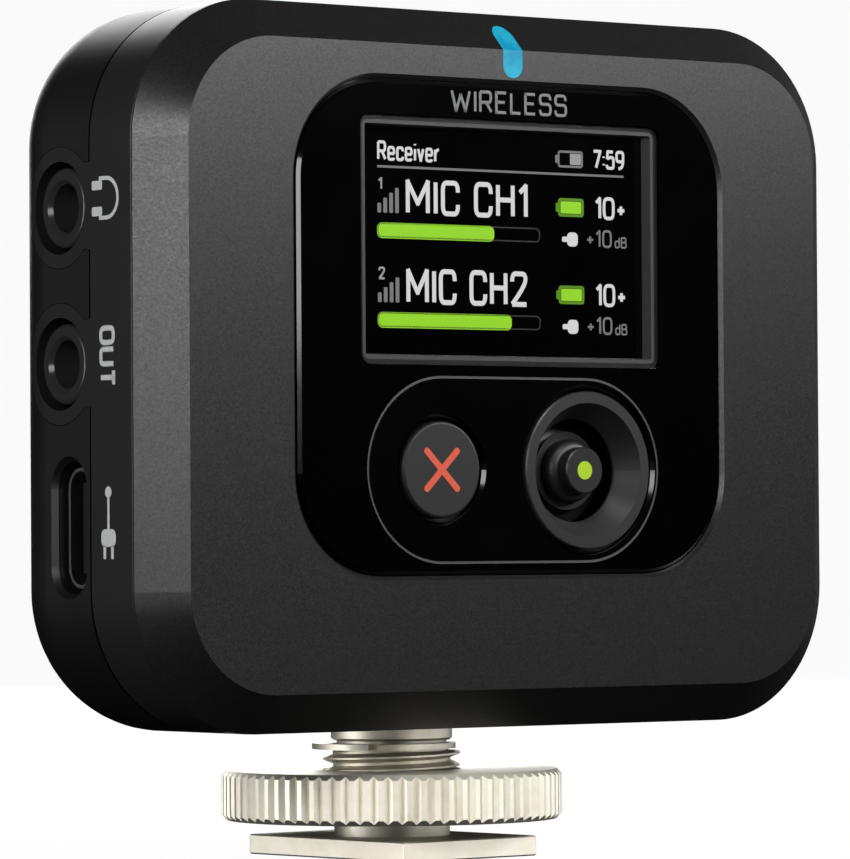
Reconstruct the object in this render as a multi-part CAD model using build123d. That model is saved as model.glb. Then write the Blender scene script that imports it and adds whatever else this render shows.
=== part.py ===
from build123d import *
import math
import os

# Wireless receiver unit with a shoe mount, in millimetres.
# +Z is up, the screen faces -Y, +X is to the viewer's right.
# The origin is the centre of the shoe foot's underside, on the stem's axis.

# ---- Driving dimensions: the case ----
CASE_WIDTH = 65.7
CASE_HEIGHT = 54.3
CASE_DEPTH = 21.4
CASE_RADIUS = 10.6
CASE_WALL = 1.6
BEVEL = 2.95
COVER_DEPTH = 3.1
COVER_PLATE = 1.9
FRAME_DEPTH = 5.5
BACK_ROUNDING = 6.7
SEAM_CHAMFER = 0.15
LIP_DEPTH = 1.0
LIP_THICKNESS = 0.8
LIP_GAP = 0.05

# ---- Driving dimensions: where the case sits ----
FOOT_THICKNESS = 1.57
CASE_BOTTOM = 10.22
FRONT = -16.0
CASE_Z = CASE_BOTTOM + CASE_HEIGHT / 2
SEAM = FRONT + COVER_DEPTH + FRAME_DEPTH
BACK = FRONT + CASE_DEPTH
LEFT = -CASE_WIDTH / 2

# ---- Fascia ----
PANEL_WIDTH = 40.3
PANEL_HEIGHT = 36.9
PANEL_RADIUS = 7.55
PANEL_THICKNESS = 0.9
PANEL_Z = CASE_Z + 3.0
PANEL_GAP = 0.15
PANEL_CHAMFER = 0.24
OPENING_CHAMFER = 0.3
TAPE_THICKNESS = 0.12
LEDGE = 1.5
LIGHT_PIPE_Z = CASE_Z + 24.12
LIGHT_PIPE_LENGTH = 4.1
LIGHT_PIPE_WIDTH = 1.83
LIGHT_ROD_RADIUS = 0.8
LIGHT_ROD_Z = CASE_Z + 23.2
LAMP_HEIGHT = 0.9

# ---- Screen ----
SCREEN_Z = CASE_Z + 9.55
WINDOW_WIDTH = 28.8
WINDOW_HEIGHT = 18.7
WINDOW_RADIUS = 0.9
WINDOW_THICKNESS = 0.4
WINDOW_GAP = 0.03
BEZEL_DEPTH = 0.45
BEZEL_RIM = 0.7
BEZEL_DRAFT = 0.12
DISPLAY_DEPTH = 1.4
DISPLAY_WIDTH = 29.8
DISPLAY_HEIGHT = 19.0
DISPLAY_RAISE = 0.2
GLASS_THICKNESS = 0.9
BACKLIGHT_THICKNESS = 0.8
TRAY_WALL = 0.4
TRAY_FIT = 0.03
TRAY_LIP = 0.6
TRAY_BACK = 0.25
RIBBON_HALF_WIDTH = 5.0
RIBBON_THICKNESS = 0.15
RIBBON_RISE = 10.8
SOCKET_HEIGHT = 0.9

# ---- Control island ----
CONTROL_Z = CASE_Z - 7.64
CONTROL_OFFSET = 7.03
ISLAND_WIDTH = 27.5
ISLAND_HEIGHT = 13.7
ISLAND_THICKNESS = 1.3
ISLAND_FLANGE_ENDS = 2.6
ISLAND_FLANGE_SIDES = 0.8
FLANGE_CLEARANCE = 0.12
TRIM_WIDTH = 0.2
TRIM_FIT = 0.01
TRIM_RECESS = 0.06
BUTTON_RADIUS = 3.66
BUTTON_HOLE_RADIUS = 3.95
BUTTON_PROUD = 0.02
BUTTON_FLANGE = 0.8
BUTTON_FLANGE_THICKNESS = 0.6
BUTTON_TRAVEL_ROOM = 0.15
BUTTON_POST_RADIUS = 1.3
CROSS_LENGTH = 4.5
CROSS_WIDTH = 0.52
SWITCH_HALF_WIDTH = 3.0
SWITCH_HEIGHT = 1.7
PLUNGER_RADIUS = 1.0
PLUNGER_TOP = 2.2
STICK_HOLE_RADIUS = 6.3
HOLE_CHAMFER = 0.25
COLLAR_RADIUS = 6.03
STICK_DOME_RADIUS = 2.45
STICK_DOME_ROUND = 0.8
STICK_DOME_STEPS = 12
STICK_LIGHT_RADIUS = 0.7
STEM_PIN_RADIUS = 0.8
GIMBAL_DEPTH = 1.3
GIMBAL_HALF = 0.35
GIMBAL_PIN_RADIUS = 0.2
GIMBAL_STEM_RADIUS = 1.05
GIMBAL_INNER_RADIUS = 1.8
GIMBAL_GAP = 0.12
GIMBAL_OUTER_RADIUS = 2.6
STICK_SWITCH_HALF = 3.9
STICK_SWITCH_RISE = 0.8

# ---- Boards ----
BOARD_FRONT = SEAM + 0.05
BOARD_BACK = BOARD_FRONT + 1.0
BOARD_WIDTH = 59.6
BOARD_HEIGHT = 48.4
BOARD_RADIUS = 8.0
BOSS_X = 26.9
BOSS_Z = 20.9
BOSS_RADIUS = 2.7
BOSS_HOLE_RADIUS = 0.75
SCREW_HOLE_RADIUS = 0.95
SCREW_RADIUS = 0.7
SCREW_HEAD_RADIUS = 1.4
SCREW_HEAD_HEIGHT = 0.7
SCREW_LENGTH = 3.2
CAN_WALL = 0.2
CAN_HEIGHT = 1.5
CELL_GAP = 2.0
CELL_THICKNESS = 5.6
CELL_RADIUS = 1.8

# ---- Ports on the left side ----
JACK_Y = FRONT + 12.6
JACK_ZS = {"headphone": CASE_Z + 11.85, "line_out": CASE_Z + 0.28}
JACK_BORE_RADIUS = 1.8
JACK_BARREL_RADIUS = 3.0
JACK_RECESS_RADIUS = 3.45
JACK_EAR_RADIUS = 4.5
JACK_NECK_HALF = 3.2
JACK_INSET = 0.35
JACK_ROUND = 0.35
JACK_MOUTH_CHAMFER = 0.3
BARREL_LENGTH = 2.6
JACK_BODY_LENGTH = 11.4
JACK_BORE_BEYOND_BARREL = 10.6
JACK_BODY_HALF_HEIGHT = 3.1
JACK_BODY_HALF_DEPTH = 2.9
USB_Y = FRONT + 11.5
USB_Z = CASE_Z - 11.85
USB_SLOT_LENGTH = 9.8
USB_SLOT_WIDTH = 4.0
USB_SLOT_CHAMFER = 0.4
USB_SHELL_LENGTH = 8.94
USB_SHELL_WIDTH = 3.26
USB_SHELL_WALL = 0.25
USB_INSET = 1.05
USB_SHELL_DEPTH = 7.35
TONGUE_WIDTH = 6.69
TONGUE_THICKNESS = 0.7
TONGUE_INSET = 0.45
USB_CORE_INSET = 5.2

# ---- Shoe mount ----
FOOT_LENGTH = 18.6
FOOT_WIDTH = 13.57
FOOT_TURN = 4.1
FOOT_CORNER = 0.15
FOOT_CHAMFER = 0.12
SPIGOT_RADIUS = 2.5
SPIGOT_BOTTOM = 0.5
NUT_RADIUS = 13.25
NUT_THICKNESS = 3.87
NUT_BOTTOM = 2.84
NUT_CHAMFER = 0.42
KNURLS = 76
KNURL_DEPTH = 0.3
KNURL_SHARE = 0.66
NUT_BORE_GAP = 0.07
NUT_PAD_INNER = 7.0
NUT_PAD_OUTER = 10.4
NUT_PAD_SEAT = 0.8
NUT_PAD_FIT = 0.05
NECK_RADIUS = 4.5
COLLAR_TOP = CASE_BOTTOM - 0.1
STEM_COLLAR_RADIUS = 4.73
THREAD_RADIUS = 5.33
THREAD_PITCH = 0.95
THREAD_START = 3.32
THREAD_TOP = 8.12
CLIP_BOTTOM = 8.3
CLIP_THICKNESS = 0.45
CLIP_GROOVE_RADIUS = 4.28
CLIP_RADIUS = 5.6
CLIP_OFFSET = 0.6
CLIP_TURN = 143.4
CLIP_MOUTH_TURN = 75.4
JOURNAL_RADIUS = 2.4
RING_GROOVE_RADIUS = 1.9
BUSH_RADIUS = 4.2
BUSH_LENGTH = 7.0
BOSS_OUTER_RADIUS = 5.3
RUNNING_GAP = 0.04
WASHER_RADIUS = 3.7
WASHER_THICKNESS = 0.28
RING_RADIUS = 3.3
RING_THICKNESS = 0.44
RING_GROOVE_WIDTH = 0.5

parts = {}


def front_plane(y, x=0.0, z=0.0):
    """A sketch plane that faces the viewer, with its own up along +Z."""
    return Plane(origin=(x, y, z), x_dir=(1, 0, 0), z_dir=(0, -1, 0))


def slab(outline, y_front, y_back, x=0.0, z=CASE_Z):
    """A prism of an outline, from y_front back to y_back."""
    return extrude(front_plane(y_back, x, z) * outline, amount=y_back - y_front)


def side_slab(outline, x_out, x_in, y, z):
    """A prism of an outline through the left wall; the outline's own X runs along Z."""
    plane = Plane(origin=(x_in, y, z), x_dir=(0, 0, 1), z_dir=(-1, 0, 0))
    return extrude(plane * outline, amount=x_in - x_out)


def upright(radius, bottom, top, x=0.0, y=0.0):
    """A vertical cylinder from bottom to top."""
    return Pos(x, y, bottom) * Cylinder(radius, top - bottom, align=(Align.CENTER, Align.CENTER, Align.MIN))


def block(x_range, y_range, z_range):
    """A box between two limits on each axis."""
    sizes = [high - low for low, high in (x_range, y_range, z_range)]
    corner = (x_range[0], y_range[0], z_range[0])
    return Pos(*corner) * Box(*sizes, align=(Align.MIN, Align.MIN, Align.MIN))


def edges_at(solid, y, half_width=None):
    """The edges that lie in the plane at y, within half_width of the middle if given."""
    found = [e for e in solid.edges() if abs(e.bounding_box().min.Y - y) < 1e-4
             and abs(e.bounding_box().max.Y - y) < 1e-4]
    if half_width is None:
        return found
    return [e for e in found if max(abs(e.bounding_box().min.X), abs(e.bounding_box().max.X)) < half_width]


def case_outline(inset=0.0):
    """The case's rounded-rectangle outline, drawn in by inset."""
    return RectangleRounded(CASE_WIDTH - 2 * inset, CASE_HEIGHT - 2 * inset, CASE_RADIUS - inset)


def panel_outline(grow=0.0):
    """The glossy panel's outline, grown by grow."""
    return RectangleRounded(PANEL_WIDTH + 2 * grow, PANEL_HEIGHT + 2 * grow, PANEL_RADIUS + grow)


def window_outline(grow=0.0):
    """The screen window's outline, grown by grow."""
    radius = max(WINDOW_RADIUS + grow, 0.15)
    return RectangleRounded(WINDOW_WIDTH + 2 * grow, WINDOW_HEIGHT + 2 * grow, radius)


def light_pipe_outline(grow=0.0):
    """The light pipe's round-ended outline, seen from the front."""
    return Rot(0, 0, 90) * SlotOverall(LIGHT_PIPE_LENGTH + 2 * grow, LIGHT_PIPE_WIDTH + 2 * grow)


def island_outline(grow=0.0):
    """The control island's stadium outline, grown by grow."""
    return SlotOverall(ISLAND_WIDTH + 2 * grow, ISLAND_HEIGHT + 2 * grow)


def island_flange_outline(grow=0.0):
    """The outline of the flange behind the panel that holds the control island."""
    width = ISLAND_WIDTH + ISLAND_FLANGE_ENDS
    height = ISLAND_HEIGHT + ISLAND_FLANGE_SIDES
    return SlotOverall(width + 2 * grow, height + 2 * grow)


def cover_blank():
    """The front cover's outer form: a plate with a broad bevel all round."""
    blank = slab(case_outline(), FRONT, FRONT + COVER_DEPTH)
    return chamfer(edges_at(blank, FRONT), BEVEL)


def make_front_cover():
    """Bevelled cover with the panel's opening, its ledge and the light pipe's slot."""
    cover = cover_blank()
    inner = slab(case_outline(COVER_DEPTH - 1.4), FRONT + COVER_PLATE, FRONT + COVER_DEPTH)
    inner = chamfer(edges_at(inner, FRONT + COVER_PLATE), 1.1)
    cover -= inner
    seat = slab(panel_outline(PANEL_GAP), FRONT, FRONT + PANEL_THICKNESS + TAPE_THICKNESS, z=PANEL_Z)
    cover -= seat
    cover = chamfer(edges_at(cover, FRONT, PANEL_WIDTH / 2 + 1), OPENING_CHAMFER)
    cover -= slab(panel_outline(-LEDGE), FRONT, FRONT + COVER_DEPTH, z=PANEL_Z)
    cover -= slab(island_flange_outline(FLANGE_CLEARANCE), FRONT, FRONT + COVER_DEPTH, z=CONTROL_Z)
    cover -= slab(light_pipe_outline(0.02), FRONT - 1, FRONT + COVER_DEPTH + 1, z=LIGHT_PIPE_Z)
    parts["front_cover"] = cover


def jack_ear(z, gap=0.0, depth=CASE_WALL):
    """The round tab of the middle frame that surrounds a jack."""
    x_out = LEFT - 0.5
    x_in = LEFT + depth
    disc = side_slab(Circle(JACK_EAR_RADIUS + gap), x_out, x_in, JACK_Y, z)
    neck_half = JACK_NECK_HALF + gap
    neck = block((x_out, x_in), (SEAM - 0.5, JACK_Y), (z - neck_half, z + neck_half))
    return disc + neck


def outer_case():
    """The whole case's outer form behind the cover, with its rounded back edge."""
    form = slab(case_outline(), FRONT + COVER_DEPTH, BACK)
    return fillet(edges_at(form, BACK), BACK_ROUNDING)


def make_middle_frame(form):
    """Side band with a lip for the rear shell, an ear round each jack and four board bosses."""
    y_front = FRONT + COVER_DEPTH
    band = slab(case_outline(), y_front, SEAM)
    band = chamfer(edges_at(band, y_front) + edges_at(band, SEAM), 0.08)
    band -= slab(case_outline(CASE_WALL), y_front, SEAM)
    lip_outer = CASE_WALL - LIP_THICKNESS
    lip = slab(case_outline(lip_outer), SEAM - 0.4, SEAM + LIP_DEPTH) - slab(
        case_outline(CASE_WALL), SEAM - 0.4, SEAM + LIP_DEPTH)
    band += lip
    for z in JACK_ZS.values():
        band += jack_ear(z) & form
    for z in JACK_ZS.values():
        band -= side_slab(Circle(JACK_RECESS_RADIUS), LEFT - 1, LEFT + 4, JACK_Y, z)
    slot = SlotOverall(USB_SLOT_LENGTH, USB_SLOT_WIDTH)
    band -= side_slab(slot, LEFT - 1, LEFT + 4, USB_Y, USB_Z)
    for sx in (-1, 1):
        for sz in (-1, 1):
            x = sx * BOSS_X
            z = CASE_Z + sz * BOSS_Z
            boss = slab(Circle(BOSS_RADIUS), y_front + 0.6, SEAM + 0.05, x, z)
            band += boss & slab(case_outline(0.8), y_front, SEAM + 0.05)
            band -= slab(Circle(BOSS_HOLE_RADIUS), y_front + 1.2, SEAM + 0.05, x, z)
    parts["middle_frame"] = band


def usb_mouth():
    """The tapered mouth round the port's slot."""
    rings = []
    for x, grow in ((LEFT, USB_SLOT_CHAMFER), (LEFT + USB_SLOT_CHAMFER, 0.0)):
        plane = Plane(origin=(x, USB_Y, USB_Z), x_dir=(0, 0, 1), z_dir=(-1, 0, 0))
        rings.append(plane * SlotOverall(USB_SLOT_LENGTH + 2 * grow, USB_SLOT_WIDTH + 2 * grow))
    return loft(rings)


def make_rear_shell(form):
    """Back shell with a rebate for the frame's lip, ear notches, the port slot and the stem's boss."""
    shell = form & slab(case_outline(-1), SEAM, BACK + 1)
    shell = chamfer([e for e in edges_at(shell, SEAM)], SEAM_CHAMFER)
    hollow = slab(case_outline(CASE_WALL), SEAM, BACK - CASE_WALL)
    hollow = fillet(edges_at(hollow, BACK - CASE_WALL), BACK_ROUNDING - CASE_WALL)
    shell -= hollow
    lip_outer = CASE_WALL - LIP_THICKNESS - LIP_GAP
    shell -= slab(case_outline(lip_outer), SEAM, SEAM + LIP_DEPTH + LIP_GAP)
    boss_top = CASE_BOTTOM + BUSH_LENGTH
    boss = upright(BOSS_OUTER_RADIUS, CASE_BOTTOM, boss_top)
    web = block((-1.0, 1.0), (2.0, BACK - 0.8), (CASE_BOTTOM + 4, boss_top))
    shell += boss + web
    shell -= upright(BUSH_RADIUS, CASE_BOTTOM - 1, boss_top + 1)
    for z in JACK_ZS.values():
        shell -= jack_ear(z, LIP_GAP, 3.2)
    shell -= side_slab(SlotOverall(USB_SLOT_LENGTH, USB_SLOT_WIDTH), LEFT - 1, LEFT + 4, USB_Y, USB_Z)
    shell -= usb_mouth()
    parts["rear_shell"] = shell


def make_fascia():
    """Glossy panel, the tape that holds it, and the control island with its fine trim ring."""
    panel = slab(panel_outline(), FRONT, FRONT + PANEL_THICKNESS, z=PANEL_Z)
    panel = chamfer(edges_at(panel, FRONT), PANEL_CHAMFER)
    panel -= slab(window_outline(), FRONT, FRONT + PANEL_THICKNESS, z=SCREEN_Z)
    panel -= slab(island_outline(TRIM_WIDTH + 2 * TRIM_FIT), FRONT, FRONT + PANEL_THICKNESS, z=CONTROL_Z)
    parts["fascia_panel"] = panel

    trim_front = FRONT + TRIM_RECESS
    trim = slab(island_outline(TRIM_WIDTH + TRIM_FIT), trim_front, FRONT + PANEL_THICKNESS, z=CONTROL_Z)
    trim -= slab(island_outline(TRIM_FIT), trim_front, FRONT + PANEL_THICKNESS, z=CONTROL_Z)
    parts["island_trim"] = trim

    tape_back = FRONT + PANEL_THICKNESS + TAPE_THICKNESS
    tape = slab(panel_outline(-0.1), FRONT + PANEL_THICKNESS, tape_back, z=PANEL_Z)
    tape -= slab(panel_outline(-LEDGE), FRONT + PANEL_THICKNESS, tape_back, z=PANEL_Z)
    tape -= slab(island_flange_outline(FLANGE_CLEARANCE), FRONT + PANEL_THICKNESS, tape_back, z=CONTROL_Z)
    parts["panel_tape"] = tape

    island = slab(island_outline(), FRONT, FRONT + ISLAND_THICKNESS, z=CONTROL_Z)
    flange_front = FRONT + PANEL_THICKNESS
    island += slab(island_flange_outline(), flange_front, FRONT + ISLAND_THICKNESS, z=CONTROL_Z)
    for x, radius in ((-CONTROL_OFFSET, BUTTON_HOLE_RADIUS), (CONTROL_OFFSET, STICK_HOLE_RADIUS)):
        hole = slab(Circle(radius), FRONT, FRONT + ISLAND_THICKNESS, x, CONTROL_Z)
        island -= hole
        edge = [e for e in edges_at(island, FRONT) if e.geom_type == GeomType.CIRCLE
                and abs(e.radius - radius) < 1e-3]
        island = chamfer(edge, HOLE_CHAMFER)
    parts["control_island"] = island


def make_screen():
    """Clear window, stepped bezel, display stack and its ribbon cable."""
    pane = slab(window_outline(-WINDOW_GAP), FRONT, FRONT + WINDOW_THICKNESS, z=SCREEN_Z)
    parts["display_window"] = pane

    y_rim = FRONT + BEZEL_DEPTH
    y_back = FRONT + DISPLAY_DEPTH
    bezel = slab(window_outline(-WINDOW_GAP), y_rim, y_back, z=SCREEN_Z)
    wide = front_plane(y_rim, 0, SCREEN_Z) * window_outline(-BEZEL_RIM)
    narrow = front_plane(y_back, 0, SCREEN_Z) * window_outline(-BEZEL_RIM - BEZEL_DRAFT)
    parts["screen_bezel"] = bezel - loft([wide, narrow])

    glass_back = y_back + GLASS_THICKNESS
    light_back = glass_back + BACKLIGHT_THICKNESS
    y_tray = light_back + TRAY_BACK
    z = SCREEN_Z + DISPLAY_RAISE
    sheet = Rectangle(DISPLAY_WIDTH, DISPLAY_HEIGHT)
    parts["lcd_panel"] = slab(sheet, y_back, glass_back, z=z)
    parts["lcd_backlight"] = slab(sheet, glass_back, light_back, z=z)
    tray_outside = Rectangle(DISPLAY_WIDTH + 2 * TRAY_WALL, DISPLAY_HEIGHT + 2 * TRAY_WALL)
    tray_inside = Rectangle(DISPLAY_WIDTH + 2 * TRAY_FIT, DISPLAY_HEIGHT + 2 * TRAY_FIT)
    tray = slab(tray_outside, y_back + TRAY_LIP, y_tray, z=z)
    parts["lcd_tray"] = tray - slab(tray_inside, y_back + TRAY_LIP, light_back, z=z)

    across = (-RIBBON_HALF_WIDTH, RIBBON_HALF_WIDTH)
    top = SCREEN_Z + RIBBON_RISE
    y_end = BOARD_FRONT - SOCKET_HEIGHT
    ribbon = block(across, (y_tray, y_tray + RIBBON_THICKNESS), (SCREEN_Z + 2, top))
    ribbon += block(across, (y_tray, y_end), (top - RIBBON_THICKNESS, top))
    ribbon += block(across, (y_end - RIBBON_THICKNESS, y_end), (top - 4, top))
    parts["display_ribbon"] = ribbon
    socket_across = (-RIBBON_HALF_WIDTH - 1, RIBBON_HALF_WIDTH + 1)
    parts["ribbon_connector"] = block(socket_across, (y_end, BOARD_FRONT), (top - 4.5, top - 1.5))


def cross_mark(length, width, depth_front, depth_back, x, z):
    """Two round-ended bars that cross, seen from the front."""
    mark = None
    for turn in (45, -45):
        bar = slab(Rot(0, 0, turn) * SlotOverall(length, width), depth_front, depth_back, x, z)
        mark = bar if mark is None else mark + bar
    return mark


def make_button():
    """The cross-marked push button, its plunger and the tact switch it works."""
    x = -CONTROL_OFFSET
    face = FRONT - BUTTON_PROUD
    flange_front = FRONT + ISLAND_THICKNESS + BUTTON_TRAVEL_ROOM
    flange_back = flange_front + BUTTON_FLANGE_THICKNESS
    cap = slab(Circle(BUTTON_RADIUS), face, flange_back, x, CONTROL_Z)
    cap = fillet(edges_at(cap, face), HOLE_CHAMFER)
    cap += slab(Circle(BUTTON_RADIUS + BUTTON_FLANGE), flange_front, flange_back, x, CONTROL_Z)
    cap += slab(Circle(BUTTON_POST_RADIUS), flange_back - 0.1, BOARD_FRONT - PLUNGER_TOP, x, CONTROL_Z)
    mark = cross_mark(CROSS_LENGTH, CROSS_WIDTH, face - 0.03, face + 0.3, x, CONTROL_Z)
    parts["x_button_cap"] = cap - mark
    parts["x_button_mark"] = mark

    x_range = (x - SWITCH_HALF_WIDTH, x + SWITCH_HALF_WIDTH)
    z_range = (CONTROL_Z - SWITCH_HALF_WIDTH, CONTROL_Z + SWITCH_HALF_WIDTH)
    y_top = BOARD_FRONT - SWITCH_HEIGHT
    switch = block(x_range, (y_top, BOARD_FRONT), z_range)
    well = slab(Circle(PLUNGER_RADIUS + 0.06), y_top, BOARD_FRONT - 0.5, x, CONTROL_Z)
    parts["x_switch_body"] = switch - well
    plunger = slab(Circle(PLUNGER_RADIUS), BOARD_FRONT - PLUNGER_TOP, BOARD_FRONT - 1.0, x, CONTROL_Z)
    parts["x_switch_plunger"] = plunger


def make_joystick():
    """Four-way stick with a centre press: collar, cap, stem, gimbal rings and switch body."""
    x = CONTROL_OFFSET
    z = CONTROL_Z

    def turned(points):
        """A solid of revolution about the stick's axis from (radius, depth) points."""
        flat = Polyline([(radius, -depth) for radius, depth in points], close=True)
        plane = Plane(origin=(x, FRONT, z), x_dir=(1, 0, 0), z_dir=(0, 0, 1))
        return revolve(plane * make_face(flat), Axis((x, FRONT, z), (0, 1, 0)))

    bowl = [(5.15, 0), (COLLAR_RADIUS - 0.1, 0), (COLLAR_RADIUS, 0.1), (COLLAR_RADIUS, 1.4), (6.95, 1.4),
            (6.95, 2.2), (4.6, 2.2), (3.95, 2.05), (3.95, 1.85)]
    parts["joystick_collar"] = turned([(r, -d) for r, d in bowl])
    dome_edge = STICK_DOME_RADIUS - STICK_DOME_ROUND
    cap = [(0, 0.44), (1.68, 0.44), (1.78, 0.54), (1.78, 1.35), (1.6, 1.42), (1.6, 1.55), (dome_edge, 1.55)]
    for step in range(1, STICK_DOME_STEPS + 1):
        angle = math.pi / 2 * step / STICK_DOME_STEPS
        out = STICK_DOME_ROUND * math.sin(angle)
        back = STICK_DOME_ROUND * (1 - math.cos(angle))
        cap.append((dome_edge + out, 1.55 + back))
    cap += [(STICK_DOME_RADIUS, 2.8), (3.0, 2.8), (3.0, 2.95), (2.4, 3.1), (0.8, 3.1), (0.8, 2.2), (0, 2.2)]
    cap_solid = turned([(r, -d) for r, d in cap])
    dot = slab(Circle(STICK_LIGHT_RADIUS), FRONT + 0.42, FRONT + 1.4, x, z)
    parts["joystick_cap"] = cap_solid - dot
    parts["joystick_light"] = dot
    shield = [(0.8, 3.6), (2.6, 3.6), (4.2, 4.1), (4.2, 4.4), (2.5, 3.95), (0.8, 3.95)]
    parts["joystick_shield"] = turned([(r, -d) for r, d in shield])

    pivot = BOARD_FRONT - GIMBAL_DEPTH
    low, high = pivot - GIMBAL_HALF, pivot + GIMBAL_HALF
    centre = Pos(x, pivot, z)
    stem = slab(Circle(STEM_PIN_RADIUS), FRONT + 2.2, pivot - 1.0, x, z)
    stem += slab(Circle(GIMBAL_STEM_RADIUS), pivot - 1.0, high + 0.1, x, z)
    parts["joystick_stem"] = stem

    ring = slab(Circle(GIMBAL_INNER_RADIUS), low, high, x, z)
    ring -= slab(Circle(GIMBAL_STEM_RADIUS + RUNNING_GAP), low, high, x, z)
    pins = centre * Cylinder(GIMBAL_PIN_RADIUS, 4.6) - centre * Box(3.4, 1, 3.4)
    parts["joystick_inner_ring"] = ring + pins

    ring = slab(Circle(GIMBAL_OUTER_RADIUS), low, high, x, z)
    ring -= slab(Circle(GIMBAL_INNER_RADIUS + GIMBAL_GAP), low, high, x, z)
    ring -= centre * Cylinder(GIMBAL_PIN_RADIUS + RUNNING_GAP, 6)
    sideways = centre * Rot(0, 90, 0)
    pins = sideways * Cylinder(GIMBAL_PIN_RADIUS, 6.2) - centre * Box(4.8, 1, 1)
    parts["joystick_outer_ring"] = ring + pins

    half = STICK_SWITCH_HALF
    y_top = pivot - STICK_SWITCH_RISE
    body = block((x - half, x + half), (y_top, BOARD_FRONT), (z - half, z + half))
    body -= slab(Circle(GIMBAL_OUTER_RADIUS + GIMBAL_GAP), y_top, BOARD_FRONT - 0.3, x, z)
    body -= sideways * Cylinder(GIMBAL_PIN_RADIUS + RUNNING_GAP, 6.4)
    parts["joystick_switch_body"] = body


def make_status_light():
    """Light pipe that wraps the cover's top crease, and the lamp behind it."""
    head = slab(light_pipe_outline(), FRONT - 1, FRONT + COVER_DEPTH - 0.2, z=LIGHT_PIPE_Z) & cover_blank()
    rod = slab(Circle(LIGHT_ROD_RADIUS), FRONT + 2.6, BOARD_FRONT - LAMP_HEIGHT - 0.1, 0, LIGHT_ROD_Z)
    parts["light_pipe"] = head + rod
    lamp_z = (LIGHT_ROD_Z - 0.6, LIGHT_ROD_Z + 0.6)
    parts["status_lamp"] = block((-0.8, 0.8), (BOARD_FRONT - LAMP_HEIGHT, BOARD_FRONT), lamp_z)


def make_boards():
    """Main board with its shield can, antenna and the four screws that hold it."""
    board = slab(RectangleRounded(BOARD_WIDTH, BOARD_HEIGHT, BOARD_RADIUS), BOARD_FRONT, BOARD_BACK)
    screws = None
    for sx in (-1, 1):
        for sz in (-1, 1):
            bx = sx * BOSS_X
            bz = CASE_Z + sz * BOSS_Z
            board -= slab(Circle(SCREW_HOLE_RADIUS), BOARD_FRONT, BOARD_BACK, bx, bz)
            head_top = BOARD_BACK + SCREW_HEAD_HEIGHT
            head = slab(Circle(SCREW_HEAD_RADIUS), BOARD_BACK, head_top, bx, bz)
            head -= slab(RegularPolygon(0.6, 6), head_top - 0.3, head_top, bx, bz)
            screw = head + slab(Circle(SCREW_RADIUS), BOARD_FRONT - SCREW_LENGTH, BOARD_BACK, bx, bz)
            screws = screw if screws is None else screws + screw
    parts["main_board"] = board
    parts["board_screws"] = screws
    can_back = BOARD_BACK + CAN_HEIGHT
    can = block((2, 22), (BOARD_BACK, can_back), (CASE_Z - 4, CASE_Z + 12))
    inside_x, inside_z = (2 + CAN_WALL, 22 - CAN_WALL), (CASE_Z - 4 + CAN_WALL, CASE_Z + 12 - CAN_WALL)
    parts["shield_can"] = can - block(inside_x, (BOARD_BACK, can_back - CAN_WALL), inside_z)
    antenna = block((20, 26), (BOARD_FRONT - 1.2, BOARD_FRONT), (CASE_Z + 14, CASE_Z + 16))
    parts["chip_antenna"] = antenna
    cell_front = BOARD_BACK + CELL_GAP
    cell_back = cell_front + CELL_THICKNESS
    cell = block((-14, 25), (cell_front, cell_back), (CASE_Z - 15, CASE_Z + 21))
    parts["battery_cell"] = fillet(cell.edges().filter_by(Axis.Z), CELL_RADIUS)
    foam = block((-10, 20), (cell_back + 0.1, BACK - CASE_WALL), (CASE_Z - 10, CASE_Z + 14))
    parts["battery_foam"] = foam
    plug = block((-18, -15), (BOARD_BACK, BOARD_BACK + 2.6), (CASE_Z - 22, CASE_Z - 17))
    parts["battery_connector"] = plug


def make_jacks():
    """Two 3.5 mm jacks: a black barrel in the case's wall and a socket body on the board."""
    for name, z in JACK_ZS.items():
        face = LEFT + JACK_INSET
        barrel_end = face + BARREL_LENGTH
        barrel = side_slab(Circle(JACK_BARREL_RADIUS), face, barrel_end, JACK_Y, z)
        front_edge = [e for e in barrel.edges() if abs(e.bounding_box().max.X - face) < 1e-4]
        barrel = fillet(front_edge, JACK_ROUND)
        barrel -= side_slab(Circle(JACK_BORE_RADIUS), face - 1, barrel_end + 1, JACK_Y, z)
        mouth = [e for e in barrel.edges() if abs(e.bounding_box().max.X - face) < 1e-4
                 and e.geom_type == GeomType.CIRCLE and e.radius < JACK_BORE_RADIUS + 0.1]
        parts[name + "_jack_barrel"] = chamfer(mouth, JACK_MOUTH_CHAMFER)
        x_range = (barrel_end, barrel_end + JACK_BODY_LENGTH)
        z_range = (z - JACK_BODY_HALF_HEIGHT, z + JACK_BODY_HALF_HEIGHT)
        body = block(x_range, (BOARD_BACK, JACK_Y + JACK_BODY_HALF_DEPTH), z_range)
        bore_end = barrel_end + JACK_BORE_BEYOND_BARREL
        body -= side_slab(Circle(JACK_BORE_RADIUS), barrel_end - 1, bore_end, JACK_Y, z)
        parts[name + "_jack_body"] = body


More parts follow.
